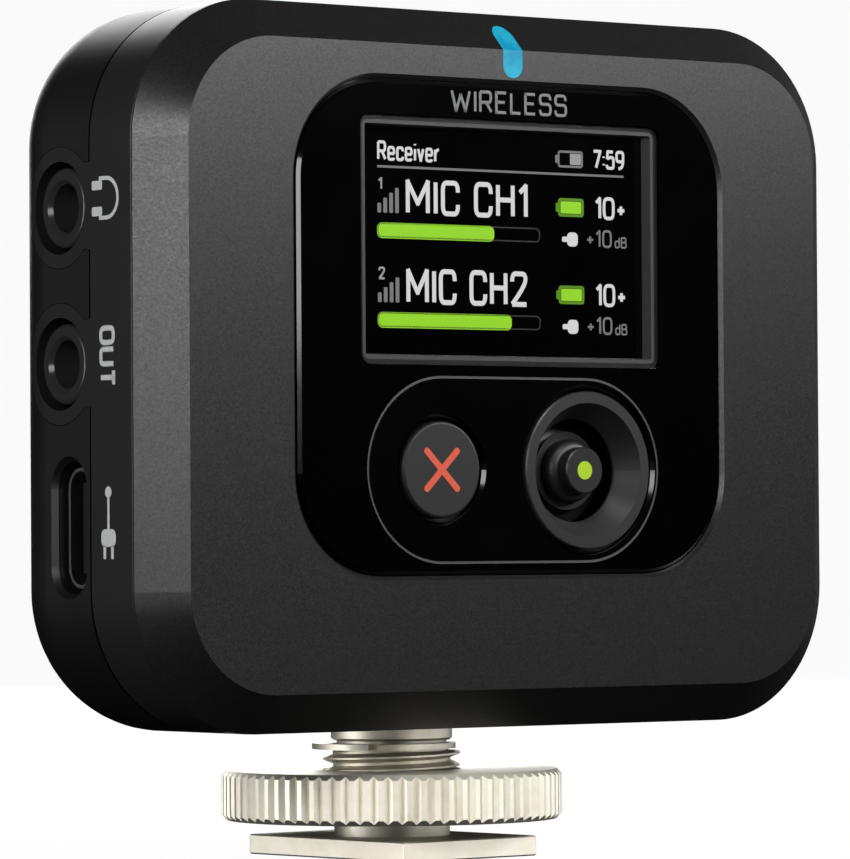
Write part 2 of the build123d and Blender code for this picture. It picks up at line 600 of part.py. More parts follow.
def make_usb():
    """Charging and data port: stamped metal shell, contact tongue and moulded insert."""
    mouth = LEFT + USB_INSET
    back = mouth + USB_SHELL_DEPTH
    outline = SlotOverall(USB_SHELL_LENGTH, USB_SHELL_WIDTH)
    inside = SlotOverall(USB_SHELL_LENGTH - 2 * USB_SHELL_WALL, USB_SHELL_WIDTH - 2 * USB_SHELL_WALL)
    shell = side_slab(outline, mouth, back, USB_Y, USB_Z)
    shell -= side_slab(inside, mouth - 1, back + 1, USB_Y, USB_Z)
    parts["usb_shell"] = shell
    core_front = mouth + USB_CORE_INSET
    core = side_slab(inside, core_front, back, USB_Y, USB_Z)
    blade = RectangleRounded(TONGUE_WIDTH, TONGUE_THICKNESS, 0.15)
    tongue = side_slab(blade, mouth + TONGUE_INSET, core_front + 0.1, USB_Y, USB_Z)
    parts["usb_tongue"] = core + tongue


def helix_ridge(radius, bottom, top):
    """One helical ridge of the stem's thread, swept round the core."""
    depth = THREAD_RADIUS - radius + 0.1
    path = Helix(THREAD_PITCH, top - bottom, radius - 0.1, center=(0, 0, bottom))
    half_base = THREAD_PITCH * 0.43
    half_crest = THREAD_PITCH * 0.07
    start = path @ 0
    plane = Plane(origin=start, x_dir=(1, 0, 0), z_dir=path % 0)
    profile = plane * make_face(Polyline([(0, -half_base), (depth, -half_crest), (depth, half_crest),
                                          (0, half_base)], close=True))
    return sweep(profile, path=path, is_frenet=True)


def make_shoe():
    """Shoe foot, threaded stem, its clip, the knurled lock nut and the hidden swivel pieces."""
    foot = extrude(RectangleRounded(FOOT_WIDTH, FOOT_LENGTH, FOOT_CORNER), FOOT_THICKNESS)
    foot = chamfer(foot.edges().group_by(Axis.Z)[0] + foot.edges().group_by(Axis.Z)[-1], FOOT_CHAMFER)
    foot -= upright(SPIGOT_RADIUS, SPIGOT_BOTTOM, FOOT_THICKNESS + 1)
    parts["foot_plate"] = Rot(0, 0, FOOT_TURN) * foot

    core_radius = NECK_RADIUS + 0.08
    journal_top = CASE_BOTTOM + BUSH_LENGTH + 1.6
    stem = upright(SPIGOT_RADIUS, SPIGOT_BOTTOM, FOOT_THICKNESS)
    stem += upright(NECK_RADIUS, FOOT_THICKNESS, NUT_BOTTOM + 0.4)
    stem += upright(core_radius, NUT_BOTTOM + 0.4, THREAD_TOP + 0.1)
    stem += upright(CLIP_GROOVE_RADIUS, THREAD_TOP, CLIP_BOTTOM + 0.7)
    collar = upright(STEM_COLLAR_RADIUS, CLIP_BOTTOM + 0.65, COLLAR_TOP)
    stem += chamfer(collar.edges().group_by(Axis.Z)[0], 0.2)
    stem += upright(JOURNAL_RADIUS, COLLAR_TOP - 0.1, journal_top)
    ring_low = CASE_BOTTOM + BUSH_LENGTH + 0.4
    ring_high = ring_low + RING_GROOVE_WIDTH
    groove = upright(JOURNAL_RADIUS + 1, ring_low, ring_high)
    stem -= groove - upright(RING_GROOVE_RADIUS, ring_low, ring_high)
    stem += helix_ridge(core_radius, THREAD_START, THREAD_TOP + 0.2)
    clip_band = upright(THREAD_RADIUS + 0.2, THREAD_TOP, CLIP_BOTTOM + 0.66)
    stem -= clip_band - upright(CLIP_GROOVE_RADIUS, THREAD_TOP, CLIP_BOTTOM + 0.66)
    parts["shoe_stem"] = stem

    clip = upright(CLIP_RADIUS, CLIP_BOTTOM, CLIP_BOTTOM + CLIP_THICKNESS, CLIP_OFFSET)
    clip -= upright(CLIP_GROOVE_RADIUS + 0.02, CLIP_BOTTOM - 1, CLIP_BOTTOM + 1)
    mouth = block((0, 7), (-0.35, 0.35), (CLIP_BOTTOM - 1, CLIP_BOTTOM + 1))
    clip -= Rot(0, 0, CLIP_MOUTH_TURN) * mouth
    parts["stem_clip"] = Rot(0, 0, CLIP_TURN) * clip

    nut = upright(NUT_RADIUS, NUT_BOTTOM, NUT_BOTTOM + NUT_THICKNESS)
    nut = chamfer(nut.edges().group_by(Axis.Z)[0] + nut.edges().group_by(Axis.Z)[-1], NUT_CHAMFER)
    nut -= upright(THREAD_RADIUS + NUT_BORE_GAP, NUT_BOTTOM - 1, NUT_BOTTOM + NUT_THICKNESS + 1)
    seat_top = NUT_BOTTOM + NUT_PAD_SEAT
    nut -= upright(NUT_PAD_OUTER, NUT_BOTTOM - 1, seat_top) - upright(NUT_PAD_INNER, NUT_BOTTOM - 1, seat_top)
    half_angle = math.pi / KNURLS
    outer = NUT_RADIUS + 0.2
    inner = NUT_RADIUS - KNURL_DEPTH
    groove_half = NUT_RADIUS * math.tan(half_angle) * KNURL_SHARE * (outer - inner) / KNURL_DEPTH
    groove = make_face(Polyline([(inner, 0), (outer, groove_half), (outer, -groove_half)], close=True))
    grooves = [Rot(0, 0, 360 / KNURLS * i) * groove for i in range(KNURLS)]
    cutters = [extrude(Pos(0, 0, NUT_BOTTOM - 0.5) * g, NUT_THICKNESS + 1) for g in grooves]
    parts["lock_nut"] = nut - cutters
    pad = upright(NUT_PAD_OUTER - NUT_PAD_FIT, NUT_BOTTOM + 0.02, seat_top - NUT_PAD_FIT)
    parts["nut_pad"] = pad - upright(NUT_PAD_INNER + NUT_PAD_FIT, NUT_BOTTOM - 1, NUT_BOTTOM + 1)

    bush = upright(BUSH_RADIUS, CASE_BOTTOM, CASE_BOTTOM + BUSH_LENGTH)
    parts["stem_bush"] = bush - upright(JOURNAL_RADIUS + RUNNING_GAP, CASE_BOTTOM - 1, ring_low)
    washer_low = CASE_BOTTOM + BUSH_LENGTH + 0.05
    washer_high = washer_low + WASHER_THICKNESS
    washer = upright(WASHER_RADIUS, washer_low, washer_high)
    parts["stem_washer"] = washer - upright(JOURNAL_RADIUS + RUNNING_GAP, washer_low, washer_high)
    ring = upright(RING_RADIUS, ring_low + 0.02, ring_low + 0.02 + RING_THICKNESS)
    ring -= upright(RING_GROOVE_RADIUS + 0.02, ring_low, ring_low + 1)
    slot = block((0, 5), (-1.0, 1.0), (ring_low - 1, ring_low + 1))
    parts["stem_ring"] = ring - slot


def main():
    """Build every piece and write one STEP file each."""
    os.makedirs("parts", exist_ok=True)
    make_front_cover()
    form = outer_case()
    make_middle_frame(form)
    make_rear_shell(form)
    make_fascia()
    make_screen()
    make_button()
    make_joystick()
    make_status_light()
    make_boards()
    make_jacks()
    make_usb()
    make_shoe()
    for name, solid in parts.items():
        export_step(solid, f"parts/{name}.step")


main()
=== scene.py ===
"""Looks of a compact wireless audio receiver that stands on a shoe foot.

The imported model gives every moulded, turned and stamped piece. This script dresses those pieces, adds the
screen's picture and the printed marks, and sets up the studio and the camera.
"""

import logging
import math
from dataclasses import dataclass, field
from enum import Enum
from typing import Any, Optional, Sequence

import bpy
from mathutils import Matrix, Vector

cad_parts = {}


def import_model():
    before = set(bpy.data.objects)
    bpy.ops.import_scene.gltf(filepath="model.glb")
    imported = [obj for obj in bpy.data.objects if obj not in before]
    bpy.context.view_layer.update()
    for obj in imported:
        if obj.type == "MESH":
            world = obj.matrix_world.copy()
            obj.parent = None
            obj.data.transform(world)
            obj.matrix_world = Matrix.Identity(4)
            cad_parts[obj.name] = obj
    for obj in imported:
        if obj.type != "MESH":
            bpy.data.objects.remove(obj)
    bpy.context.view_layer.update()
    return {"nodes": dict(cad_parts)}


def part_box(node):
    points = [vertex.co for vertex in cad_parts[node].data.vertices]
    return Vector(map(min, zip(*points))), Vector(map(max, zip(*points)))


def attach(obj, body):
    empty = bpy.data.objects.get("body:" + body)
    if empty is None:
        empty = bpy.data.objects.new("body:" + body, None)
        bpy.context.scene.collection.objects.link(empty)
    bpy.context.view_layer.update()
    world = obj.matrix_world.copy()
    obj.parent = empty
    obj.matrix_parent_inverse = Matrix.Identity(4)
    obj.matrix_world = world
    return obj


frame: dict[str, Any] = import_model()
LOG = logging.getLogger("receiver")
MM = 0.001


# ---- Node helpers ----


def linear(code: str, alpha: float = 1.0) -> tuple[float, float, float, float]:
    """Turns an sRGB hex colour to linear light.

    Args:
        code: six hex digits, with or without a leading hash.
        alpha: the fourth value to give with it.

    Returns:
        Red, green, blue and alpha, each from 0 to 1.
    """
    digits = code.lstrip("#")
    values = [int(digits[i:i + 2], 16) / 255 for i in (0, 2, 4)]
    light = [v / 12.92 if v <= 0.04045 else ((v + 0.055) / 1.055) ** 2.4 for v in values]
    return (*light, alpha)


def add_node(tree: bpy.types.NodeTree, kind: str, sockets: Optional[dict[Any, Any]] = None,
             links: Optional[dict[Any, Any]] = None, **settings: Any) -> bpy.types.Node:
    """Adds one node with its settings, socket values and incoming links.

    Args:
        tree: the node tree that gets the node.
        kind: the node's type name.
        sockets: input name or index to a value.
        links: input name or index to the output socket that feeds it.
        **settings: the node's own properties.

    Returns:
        The new node.
    """
    made = tree.nodes.new(kind)
    for name, value in settings.items():
        setattr(made, name, value)
    for name, value in (sockets or {}).items():
        made.inputs[name].default_value = value
    for name, source in (links or {}).items():
        tree.links.new(source, made.inputs[name])
    return made


def pattern_scale(size_mm: float) -> float:
    """Cells per metre for a noise or Voronoi pattern whose cells are size_mm wide."""
    return 1.0 / (size_mm * MM)


# ---- Finishes ----


@dataclass(frozen=True)
class Finish:
    """A surface finish on Object coordinates; the subclasses say what each real material shows."""

    name: str
    colour: str
    roughness: float = 0.4

    def material(self) -> bpy.types.Material:
        """Returns this finish's material, making it the first time it is asked for."""
        known = bpy.data.materials.get(self.name)
        if known:
            return known
        made = bpy.data.materials.new(self.name)
        made.use_nodes = True
        tree = made.node_tree
        tree.nodes.clear()
        shader = add_node(tree, "ShaderNodeBsdfPrincipled", {
            "Base Color": linear(self.colour), "Roughness": self.roughness})
        add_node(tree, "ShaderNodeOutputMaterial", links={"Surface": shader.outputs["BSDF"]})
        place = add_node(tree, "ShaderNodeTexCoord")
        self.build(tree, shader, place.outputs["Object"])
        made.diffuse_color = linear(self.colour)
        return made

    def build(self, tree: bpy.types.NodeTree, shader: bpy.types.Node, place: bpy.types.NodeSocket) -> None:
        """Adds this finish's own pattern.

        Args:
            tree: the material's node tree.
            shader: its Principled shader.
            place: the Object coordinates.
        """

    def mottle(self, tree: bpy.types.NodeTree, shader: bpy.types.Node, place: bpy.types.NodeSocket,
               size_mm: float, dark: str, light: str) -> None:
        """Varies the colour softly between two close shades.

        Args:
            tree: the material's node tree.
            shader: its Principled shader.
            place: the Object coordinates.
            size_mm: the width of the soft patches.
            dark: the darker shade.
            light: the lighter shade.
        """
        cloud = add_node(tree, "ShaderNodeTexNoise", {
            "Scale": pattern_scale(size_mm), "Detail": 3.0, "Roughness": 0.6}, {"Vector": place})
        ramp = add_node(tree, "ShaderNodeValToRGB", links={"Fac": cloud.outputs["Fac"]})
        ramp.color_ramp.elements[0].position = 0.3
        ramp.color_ramp.elements[0].color = linear(dark)
        ramp.color_ramp.elements[1].position = 0.7
        ramp.color_ramp.elements[1].color = linear(light)
        tree.links.new(ramp.outputs["Color"], shader.inputs["Base Color"])

    def rough_range(self, tree: bpy.types.NodeTree, shader: bpy.types.Node, source: bpy.types.NodeSocket,
                    low: float, high: float) -> None:
        """Spreads the roughness between two values over a pattern.

        Args:
            tree: the material's node tree.
            shader: its Principled shader.
            source: the pattern, from 0 to 1.
            low: the roughness where the pattern is 0.
            high: the roughness where it is 1.
        """
        spread = add_node(tree, "ShaderNodeMapRange", {"To Min": low, "To Max": high}, {"Value": source})
        tree.links.new(spread.outputs["Result"], shader.inputs["Roughness"])

    def bump(self, tree: bpy.types.NodeTree, shader: bpy.types.Node, height: bpy.types.NodeSocket,
             depth_mm: float, strength: float) -> None:
        """Raises the surface by a pattern.

        Args:
            tree: the material's node tree.
            shader: its Principled shader.
            height: the pattern, from 0 to 1.
            depth_mm: the relief's real depth.
            strength: how much of it is applied.
        """
        relief = add_node(tree, "ShaderNodeBump", {"Strength": strength, "Distance": depth_mm * MM},
                          {"Height": height})
        tree.links.new(relief.outputs["Normal"], shader.inputs["Normal"])


@dataclass(frozen=True)
class SprayedMetallicPaint(Finish):
    """Grey metallic paint sprayed on aluminium: tiny flakes glint in a satin, slightly grainy film."""

    fleck: str = "#4f4f4f"
    metallic: float = 0.75
    grain_mm: float = 0.16
    fleck_mm: float = 0.11

    def build(self, tree: bpy.types.NodeTree, shader: bpy.types.Node, place: bpy.types.NodeSocket) -> None:
        """Adds the flakes and the film's orange-peel grain."""
        shader.inputs["Metallic"].default_value = self.metallic
        # Flakes are really 0.02 mm across; they are drawn coarser so that they show.
        flakes = add_node(tree, "ShaderNodeTexVoronoi", {"Scale": pattern_scale(self.fleck_mm)}, {"Vector": place})
        split = add_node(tree, "ShaderNodeSeparateColor", links={"Color": flakes.outputs["Color"]})
        ramp = add_node(tree, "ShaderNodeValToRGB", links={"Fac": split.outputs["Red"]})
        ramp.color_ramp.elements[0].position = 0.0
        ramp.color_ramp.elements[0].color = linear(self.colour)
        ramp.color_ramp.elements[1].position = 1.0
        ramp.color_ramp.elements[1].color = linear(self.fleck)
        tree.links.new(ramp.outputs["Color"], shader.inputs["Base Color"])
        self.rough_range(tree, shader, split.outputs["Green"], self.roughness - 0.03, self.roughness + 0.05)
        grain = add_node(tree, "ShaderNodeTexNoise", {
            "Scale": pattern_scale(self.grain_mm), "Detail": 2.0, "Roughness": 0.6}, {"Vector": place})
        self.bump(tree, shader, grain.outputs["Fac"], 0.007, 0.45)


@dataclass(frozen=True)
class MouldedPlastic(Finish):
    """Injection-moulded ABS: an even satin skin with the fine spark-eroded grain of the mould."""

    grain_mm: float = 0.14
    depth_mm: float = 0.006
    shade: float = 0.06

    def build(self, tree: bpy.types.NodeTree, shader: bpy.types.Node, place: bpy.types.NodeSocket) -> None:
        """Adds the mould's grain and a faint change of gloss."""
        shader.inputs["IOR"].default_value = 1.53
        grain = add_node(tree, "ShaderNodeTexNoise", {
            "Scale": pattern_scale(self.grain_mm), "Detail": 3.0, "Roughness": 0.65}, {"Vector": place})
        self.bump(tree, shader, grain.outputs["Fac"], self.depth_mm, 0.45)
        smears = add_node(tree, "ShaderNodeTexNoise", {"Scale": pattern_scale(9.0), "Detail": 2.0},
                          {"Vector": place})
        self.rough_range(tree, shader, smears.outputs["Fac"], self.roughness - self.shade,
                         self.roughness + self.shade)


@dataclass(frozen=True)
class SeamShadedPlastic(MouldedPlastic):
    """The rear shell's ABS, with painted shade at the seam: its edge there lies in a narrow groove, and a near-black
    band with its reflection turned down stands in for the groove's shade.
    """

    # Where the painted seam shade lies behind the seam, and the near-black grey it is painted in.
    seam_shade_mm: tuple[float, float] = (0.13, 0.17)
    seam_shade_grey: float = 0.0006

    def build(self, tree: bpy.types.NodeTree, shader: bpy.types.Node, place: bpy.types.NodeSocket) -> None:
        """Adds the plastic's grain, then paints the groove's shade behind the seam as a near-black band with its
        reflection cut, fading out over its last part.
        """
        super().build(tree, shader, place)
        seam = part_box("rear_shell")[0][1]
        split = add_node(tree, "ShaderNodeSeparateXYZ", links={"Vector": place})
        behind = add_node(tree, "ShaderNodeMapRange", {
            "From Min": seam + self.seam_shade_mm[0] * MM, "From Max": seam + self.seam_shade_mm[1] * MM},
            {"Value": split.outputs["Y"]})
        # Painted shade: near-black in the band next to the seam, fading to the shell's own colour.
        ramp = add_node(tree, "ShaderNodeValToRGB", links={"Fac": behind.outputs["Result"]})
        ramp.color_ramp.elements[0].color = (self.seam_shade_grey, self.seam_shade_grey, self.seam_shade_grey, 1.0)
        ramp.color_ramp.elements[1].color = linear(self.colour)
        tree.links.new(ramp.outputs["Color"], shader.inputs["Base Color"])
        # The reflection is cut in the same band, so that the painted shade stays dark.
        shade_gloss_cut = add_node(tree, "ShaderNodeMapRange", {"To Min": 0.0, "To Max": 0.5},
                        {"Value": behind.outputs["Result"]})
        tree.links.new(shade_gloss_cut.outputs["Result"], shader.inputs["Specular IOR Level"])


@dataclass(frozen=True)
class PianoBlackPanel(Finish):
    """Polished black polycarbonate with a hard coat: deep, wet-looking and almost free of texture."""

    def build(self, tree: bpy.types.NodeTree, shader: bpy.types.Node, place: bpy.types.NodeSocket) -> None:
        """Adds the polish's faint haze, which keeps reflections from being mirror sharp."""
        shader.inputs["IOR"].default_value = 1.52
        haze = add_node(tree, "ShaderNodeTexNoise", {"Scale": pattern_scale(6.0), "Detail": 4.0},
                        {"Vector": place})
        self.rough_range(tree, shader, haze.outputs["Fac"], self.roughness * 0.7, self.roughness * 1.5)


@dataclass(frozen=True)
class ClearAcrylic(Finish):
    """Clear cast acrylic: all but invisible, with a thin polish on top."""

    alpha: float = 0.1

    def build(self, tree: bpy.types.NodeTree, shader: bpy.types.Node, place: bpy.types.NodeSocket) -> None:
        """Makes the sheet see-through and gives it a trace of dust."""
        shader.inputs["IOR"].default_value = 1.49
        shader.inputs["Alpha"].default_value = self.alpha
        dust = add_node(tree, "ShaderNodeTexNoise", {"Scale": pattern_scale(3.0), "Detail": 3.0},
                        {"Vector": place})
        self.rough_range(tree, shader, dust.outputs["Fac"], self.roughness, self.roughness + 0.03)


@dataclass(frozen=True)
class NickelPlate(Finish):
    """Satin nickel on turned brass: warm silver, with fine tool rings that soften the highlights."""

    ring_mm: float = 0.16
    depth_mm: float = 0.004

    def build(self, tree: bpy.types.NodeTree, shader: bpy.types.Node, place: bpy.types.NodeSocket) -> None:
        """Adds the tool rings round the stem's axis and the plate's slight cloudiness."""
        shader.inputs["Metallic"].default_value = 1.0
        rings = add_node(tree, "ShaderNodeTexWave", {
            "Scale": math.pi / (10 * self.ring_mm * MM), "Distortion": 1.2, "Detail": 2.0,
            "Detail Scale": 3.0}, {"Vector": place}, wave_type="RINGS", rings_direction="Z")
        self.bump(tree, shader, rings.outputs["Fac"], self.depth_mm, 0.35)
        self.mottle(tree, shader, place, 1.4, self.colour, "#d8d4c8")
        cloud = add_node(tree, "ShaderNodeTexNoise", {"Scale": pattern_scale(0.5), "Detail": 3.0},
                         {"Vector": place})
        self.rough_range(tree, shader, cloud.outputs["Fac"], self.roughness - 0.06, self.roughness + 0.1)


@dataclass(frozen=True)
class StampedSteel(Finish):
    """Stamped stainless sheet: grey metal with rolling lines along one way."""

    def build(self, tree: bpy.types.NodeTree, shader: bpy.types.Node, place: bpy.types.NodeSocket) -> None:
        """Adds the rolling lines."""
        shader.inputs["Metallic"].default_value = 1.0
        stretch = add_node(tree, "ShaderNodeMapping", {"Scale": (0.06, 1.0, 1.0)}, {"Vector": place})
        lines = add_node(tree, "ShaderNodeTexNoise", {"Scale": pattern_scale(0.08), "Detail": 2.0},
                         {"Vector": stretch.outputs["Vector"]})
        self.rough_range(tree, shader, lines.outputs["Fac"], self.roughness - 0.08, self.roughness + 0.1)


@dataclass(frozen=True)
class LitInk(Finish):
    """A mark that gives light of its own, such as the screen's picture or the status light."""

    strength: float = 1.0
    pixel_mm: float = 0.07

    def build(self, tree: bpy.types.NodeTree, shader: bpy.types.Node, place: bpy.types.NodeSocket) -> None:
        """Adds the glow and the faint grain of the display's dots, over dark glass."""
        shader.inputs["Base Color"].default_value = linear("#0b0b0b")
        shader.inputs["Emission Strength"].default_value = self.strength
        dots = add_node(tree, "ShaderNodeTexVoronoi", {"Scale": pattern_scale(self.pixel_mm), "Randomness": 0.0},
                        {"Vector": place}, distance="CHEBYCHEV")
        ramp = add_node(tree, "ShaderNodeValToRGB", links={"Fac": dots.outputs["Distance"]})
        ramp.color_ramp.elements[0].position = 0.42
        ramp.color_ramp.elements[0].color = linear(self.colour)
        ramp.color_ramp.elements[1].position = 0.75
        dim = [0.86 * value for value in linear(self.colour)[:3]]
        ramp.color_ramp.elements[1].color = (*dim, 1.0)
        tree.links.new(ramp.outputs["Color"], shader.inputs["Emission Color"])


@dataclass(frozen=True)
class TintedLightPipe(Finish):
    """Tinted acrylic light pipe, lit from behind, its glow a little uneven."""

    glow: str = "#2cb9d0"
    strength: float = 0.6

    def build(self, tree: bpy.types.NodeTree, shader: bpy.types.Node, place: bpy.types.NodeSocket) -> None:
        """Adds the inner glow, a little uneven as light in a pipe is."""
        shader.inputs["IOR"].default_value = 1.49
        shader.inputs["Coat Weight"].default_value = 0.6
        shader.inputs["Coat Roughness"].default_value = 0.1
        shader.inputs["Emission Strength"].default_value = self.strength
        drift = add_node(tree, "ShaderNodeTexNoise", {"Scale": pattern_scale(1.1), "Detail": 1.5},
                         {"Vector": place})
        ramp = add_node(tree, "ShaderNodeValToRGB", links={"Fac": drift.outputs["Fac"]})
        ramp.color_ramp.elements[0].position = 0.35
        ramp.color_ramp.elements[0].color = linear("#128fae")
        ramp.color_ramp.elements[1].position = 0.65
        ramp.color_ramp.elements[1].color = linear(self.glow)
        tree.links.new(ramp.outputs["Color"], shader.inputs["Emission Color"])


@dataclass(frozen=True)
class SilkScreenInk(Finish):
    """Screen-printed ink: a thin matte film with slightly uneven cover."""

    def build(self, tree: bpy.types.NodeTree, shader: bpy.types.Node, place: bpy.types.NodeSocket) -> None:
        """Adds the ink's uneven cover."""
        digits = self.colour.lstrip("#")
        lift = "".join(f"{min(int(digits[i:i + 2], 16) + 14, 255):02x}" for i in (0, 2, 4))
        self.mottle(tree, shader, place, 0.35, self.colour, lift)


@dataclass(frozen=True)
class MottledFinish(Finish):
    """An inner piece's plain finish, such as solder mask, foil, foam or nylon, with its own mottling."""

    light: str = "#808080"
    patch_mm: float = 1.0
    metallic: float = 0.0

    def build(self, tree: bpy.types.NodeTree, shader: bpy.types.Node, place: bpy.types.NodeSocket) -> None:
        """Adds the mottling."""
        shader.inputs["Metallic"].default_value = self.metallic
        self.mottle(tree, shader, place, self.patch_mm, self.colour, self.light)


class Finishes(Enum):
    """Every finish on the receiver."""

    COVER_PAINT = SprayedMetallicPaint("grey_metallic_paint", "#434343", 0.34)
    FRAME_ABS = MouldedPlastic("dark_abs_satin", "#2b2b2b", 0.36, 0.2, 0.003)
    # The rear shell's material carries the painted shade along its seam.
    SHELL_ABS = SeamShadedPlastic("black_abs_satin", "#171717", 0.4, 0.14, 0.005)
    JACK_NYLON = MouldedPlastic("black_glass_filled_nylon", "#0d0d0d", 0.36)
    BARREL = MouldedPlastic("dark_grey_jack_bush", "#3a3a3c", 0.21, 0.2, 0.001)
    PANEL = PianoBlackPanel("piano_black_polycarbonate", "#020202", 0.09)
    ISLAND = PianoBlackPanel("polished_black_island", "#020202", 0.13)
    BUTTON = MouldedPlastic("charcoal_abs_matte", "#202021", 0.5)
    COLLAR = MouldedPlastic("mid_grey_abs_matte", "#2c2c2d", 0.4, 0.12, 0.004)
    STICK = MouldedPlastic("black_silicone_stick", "#1d1d1d", 0.42)
    TRIM = MouldedPlastic("grey_trim_satin", "#5e5e60", 0.4, 0.1, 0.002)
    BEZEL = MouldedPlastic("grey_screen_bezel", "#6a6a6b", 0.36, 0.1, 0.002)
    WINDOW = ClearAcrylic("clear_acrylic_window", "#050505", 0.04)
    DISPLAY = PianoBlackPanel("unlit_display_glass", "#010101", 0.1)
    MARK = SilkScreenInk("orange_red_insert", "#ff6446", 0.45)
    DOT = LitInk("green_stick_light", "#a9cc2b", 0.35, 1.0)
    PIPE = TintedLightPipe("cyan_tinted_light_pipe", "#0f7ea6", 0.25)
    NICKEL = NickelPlate("satin_nickel_plate", "#cfcaba", 0.47)
    STEEL = StampedSteel("stamped_stainless_steel", "#b4b4b6", 0.3)
    PANEL_INK = SilkScreenInk("grey_panel_ink", "#8b8c8e", 0.55)
    SIDE_INK = SilkScreenInk("pale_side_ink", "#eef1f0", 0.55)
    BORDER_INK = SilkScreenInk("black_border_ink", "#030303", 0.5)
    LIT_WHITE = LitInk("screen_white", "#e6e6e6", 0.3, 1.0)
    LIT_SILVER = LitInk("screen_silver", "#a6a6a6", 0.3, 1.0)
    LIT_GREY = LitInk("screen_grey", "#808080", 0.3, 1.0)
    LIT_DIM = LitInk("screen_dim_grey", "#333436", 0.3, 1.0)
    LIT_GREEN = LitInk("screen_green", "#a0e82c", 0.3, 1.0)
    LIT_LEAF = LitInk("screen_deep_green", "#5f9418", 0.3, 1.0)
    SOLDER_MASK = MottledFinish("green_solder_mask", "#0c3b20", 0.35, "#12512c", 2.0)
    FOIL = MottledFinish("aluminium_pouch_foil", "#8e9196", 0.3, "#a5a8ac", 3.0, 1.0)
    FOAM = MottledFinish("black_polyurethane_foam", "#141414", 0.95, "#242424", 0.4)
    NYLON = MottledFinish("natural_nylon", "#d4d0c0", 0.5, "#e2dfd2", 1.0)
    BRASS = MottledFinish("turned_brass", "#b98e3f", 0.3, "#cfa654", 0.8, 1.0)
    AMBER_FILM = MottledFinish("amber_polyimide_film", "#a5611c", 0.35, "#bd7427", 1.5)
    IVORY = MottledFinish("ivory_nylon_connector", "#cdc7b4", 0.5, "#dad5c4", 1.0)
    TAPE = MottledFinish("black_acrylic_tape", "#0f0f0f", 0.6, "#181818", 0.8)
    WHITE_FILM = MottledFinish("white_diffuser_film", "#dcdcdc", 0.6, "#e8e8e8", 2.0)

    def material(self) -> bpy.types.Material:
        """Returns the finish's material."""
        return self.value.material()


CAD_FINISHES: dict[str, Finishes] = {
    "front_cover": Finishes.COVER_PAINT,
    "middle_frame": Finishes.FRAME_ABS,
    "rear_shell": Finishes.SHELL_ABS,
    "fascia_panel": Finishes.PANEL,
    "panel_tape": Finishes.TAPE,
    "control_island": Finishes.ISLAND,
    "island_trim": Finishes.TRIM,
    "display_window": Finishes.WINDOW,
    "screen_bezel": Finishes.BEZEL,
    "lcd_panel": Finishes.DISPLAY,
    "lcd_backlight": Finishes.WHITE_FILM,
    "lcd_tray": Finishes.STEEL,
    "display_ribbon": Finishes.AMBER_FILM,
    "ribbon_connector": Finishes.IVORY,
    "x_button_cap": Finishes.BUTTON,
    "x_button_mark": Finishes.MARK,
    "x_switch_body": Finishes.JACK_NYLON,
    "x_switch_plunger": Finishes.IVORY,
    "joystick_collar": Finishes.COLLAR,
    "joystick_cap": Finishes.STICK,
    "joystick_light": Finishes.DOT,
    "joystick_shield": Finishes.STICK,
    "joystick_stem": Finishes.STEEL,
    "joystick_inner_ring": Finishes.STEEL,
    "joystick_outer_ring": Finishes.STEEL,
    "joystick_switch_body": Finishes.JACK_NYLON,
    "light_pipe": Finishes.PIPE,
    "status_lamp": Finishes.IVORY,
    "main_board": Finishes.SOLDER_MASK,
    "board_screws": Finishes.STEEL,
    "shield_can": Finishes.STEEL,
    "chip_antenna": Finishes.IVORY,
    "battery_cell": Finishes.FOIL,
    "battery_foam": Finishes.FOAM,
    "battery_connector": Finishes.IVORY,
    "headphone_jack_barrel": Finishes.BARREL,
    "headphone_jack_body": Finishes.JACK_NYLON,
    "line_out_jack_barrel": Finishes.BARREL,
    "line_out_jack_body": Finishes.JACK_NYLON,
    "usb_shell": Finishes.STEEL,
    "usb_tongue": Finishes.JACK_NYLON,
    "foot_plate": Finishes.NICKEL,
    "shoe_stem": Finishes.NICKEL,
    "stem_clip": Finishes.NICKEL,
    "lock_nut": Finishes.NICKEL,
    "nut_pad": Finishes.NYLON,
    "stem_bush": Finishes.BRASS,
    "stem_washer": Finishes.NYLON,
    "stem_ring": Finishes.STEEL,
}


# ---- Laying flat marks on a face ----


@dataclass(frozen=True)
class MarkFace:
    """A flat face that marks are laid on, with its own right and up."""

    origin: tuple[float, float, float]
    right: tuple[float, float, float]
    up: tuple[float, float, float]

    def matrix(self) -> Matrix:
        """Returns the transform from the face's millimetres to the receiver's metres."""
        right = Vector(self.right).normalized()
        up = Vector(self.up).normalized()
        turn = Matrix((right, up, right.cross(up))).transposed().to_4x4()
        return Matrix.Translation(Vector(self.origin)) @ turn @ Matrix.Scale(MM, 4)


@dataclass(frozen=True)
class PenLine:
    """One stroke of a letter, in a box one capital high: straight runs, or a curve that its points pull."""

    points: tuple[tuple[float, float], ...]
    curved: bool = False
    closed: bool = False

    def moved(self, right: float) -> "PenLine":
        """Returns the same stroke moved to the right."""
        return PenLine(tuple((px + right, py) for px, py in self.points), self.curved, self.closed)

    def runs(self, points: Sequence[Vector], stroke: float) -> list[list[Vector]]:
        """Splits a straight stroke at its corners, each run a little longer so that the corners fill.

        Args:
            points: the stroke's points, in millimetres.
            stroke: the stroke's width.

        Returns:
            The runs to draw; a curve is one run.
        """
        if self.curved:
            return [list(points)]
        made = []
        for index, (start, end) in enumerate(zip(points[:-1], points[1:])):
            along = (end - start).normalized() * stroke * 0.32
            first, last = index == 0, index == len(points) - 2
            made.append([start if first else start - along, end if last else end + along])
        return made


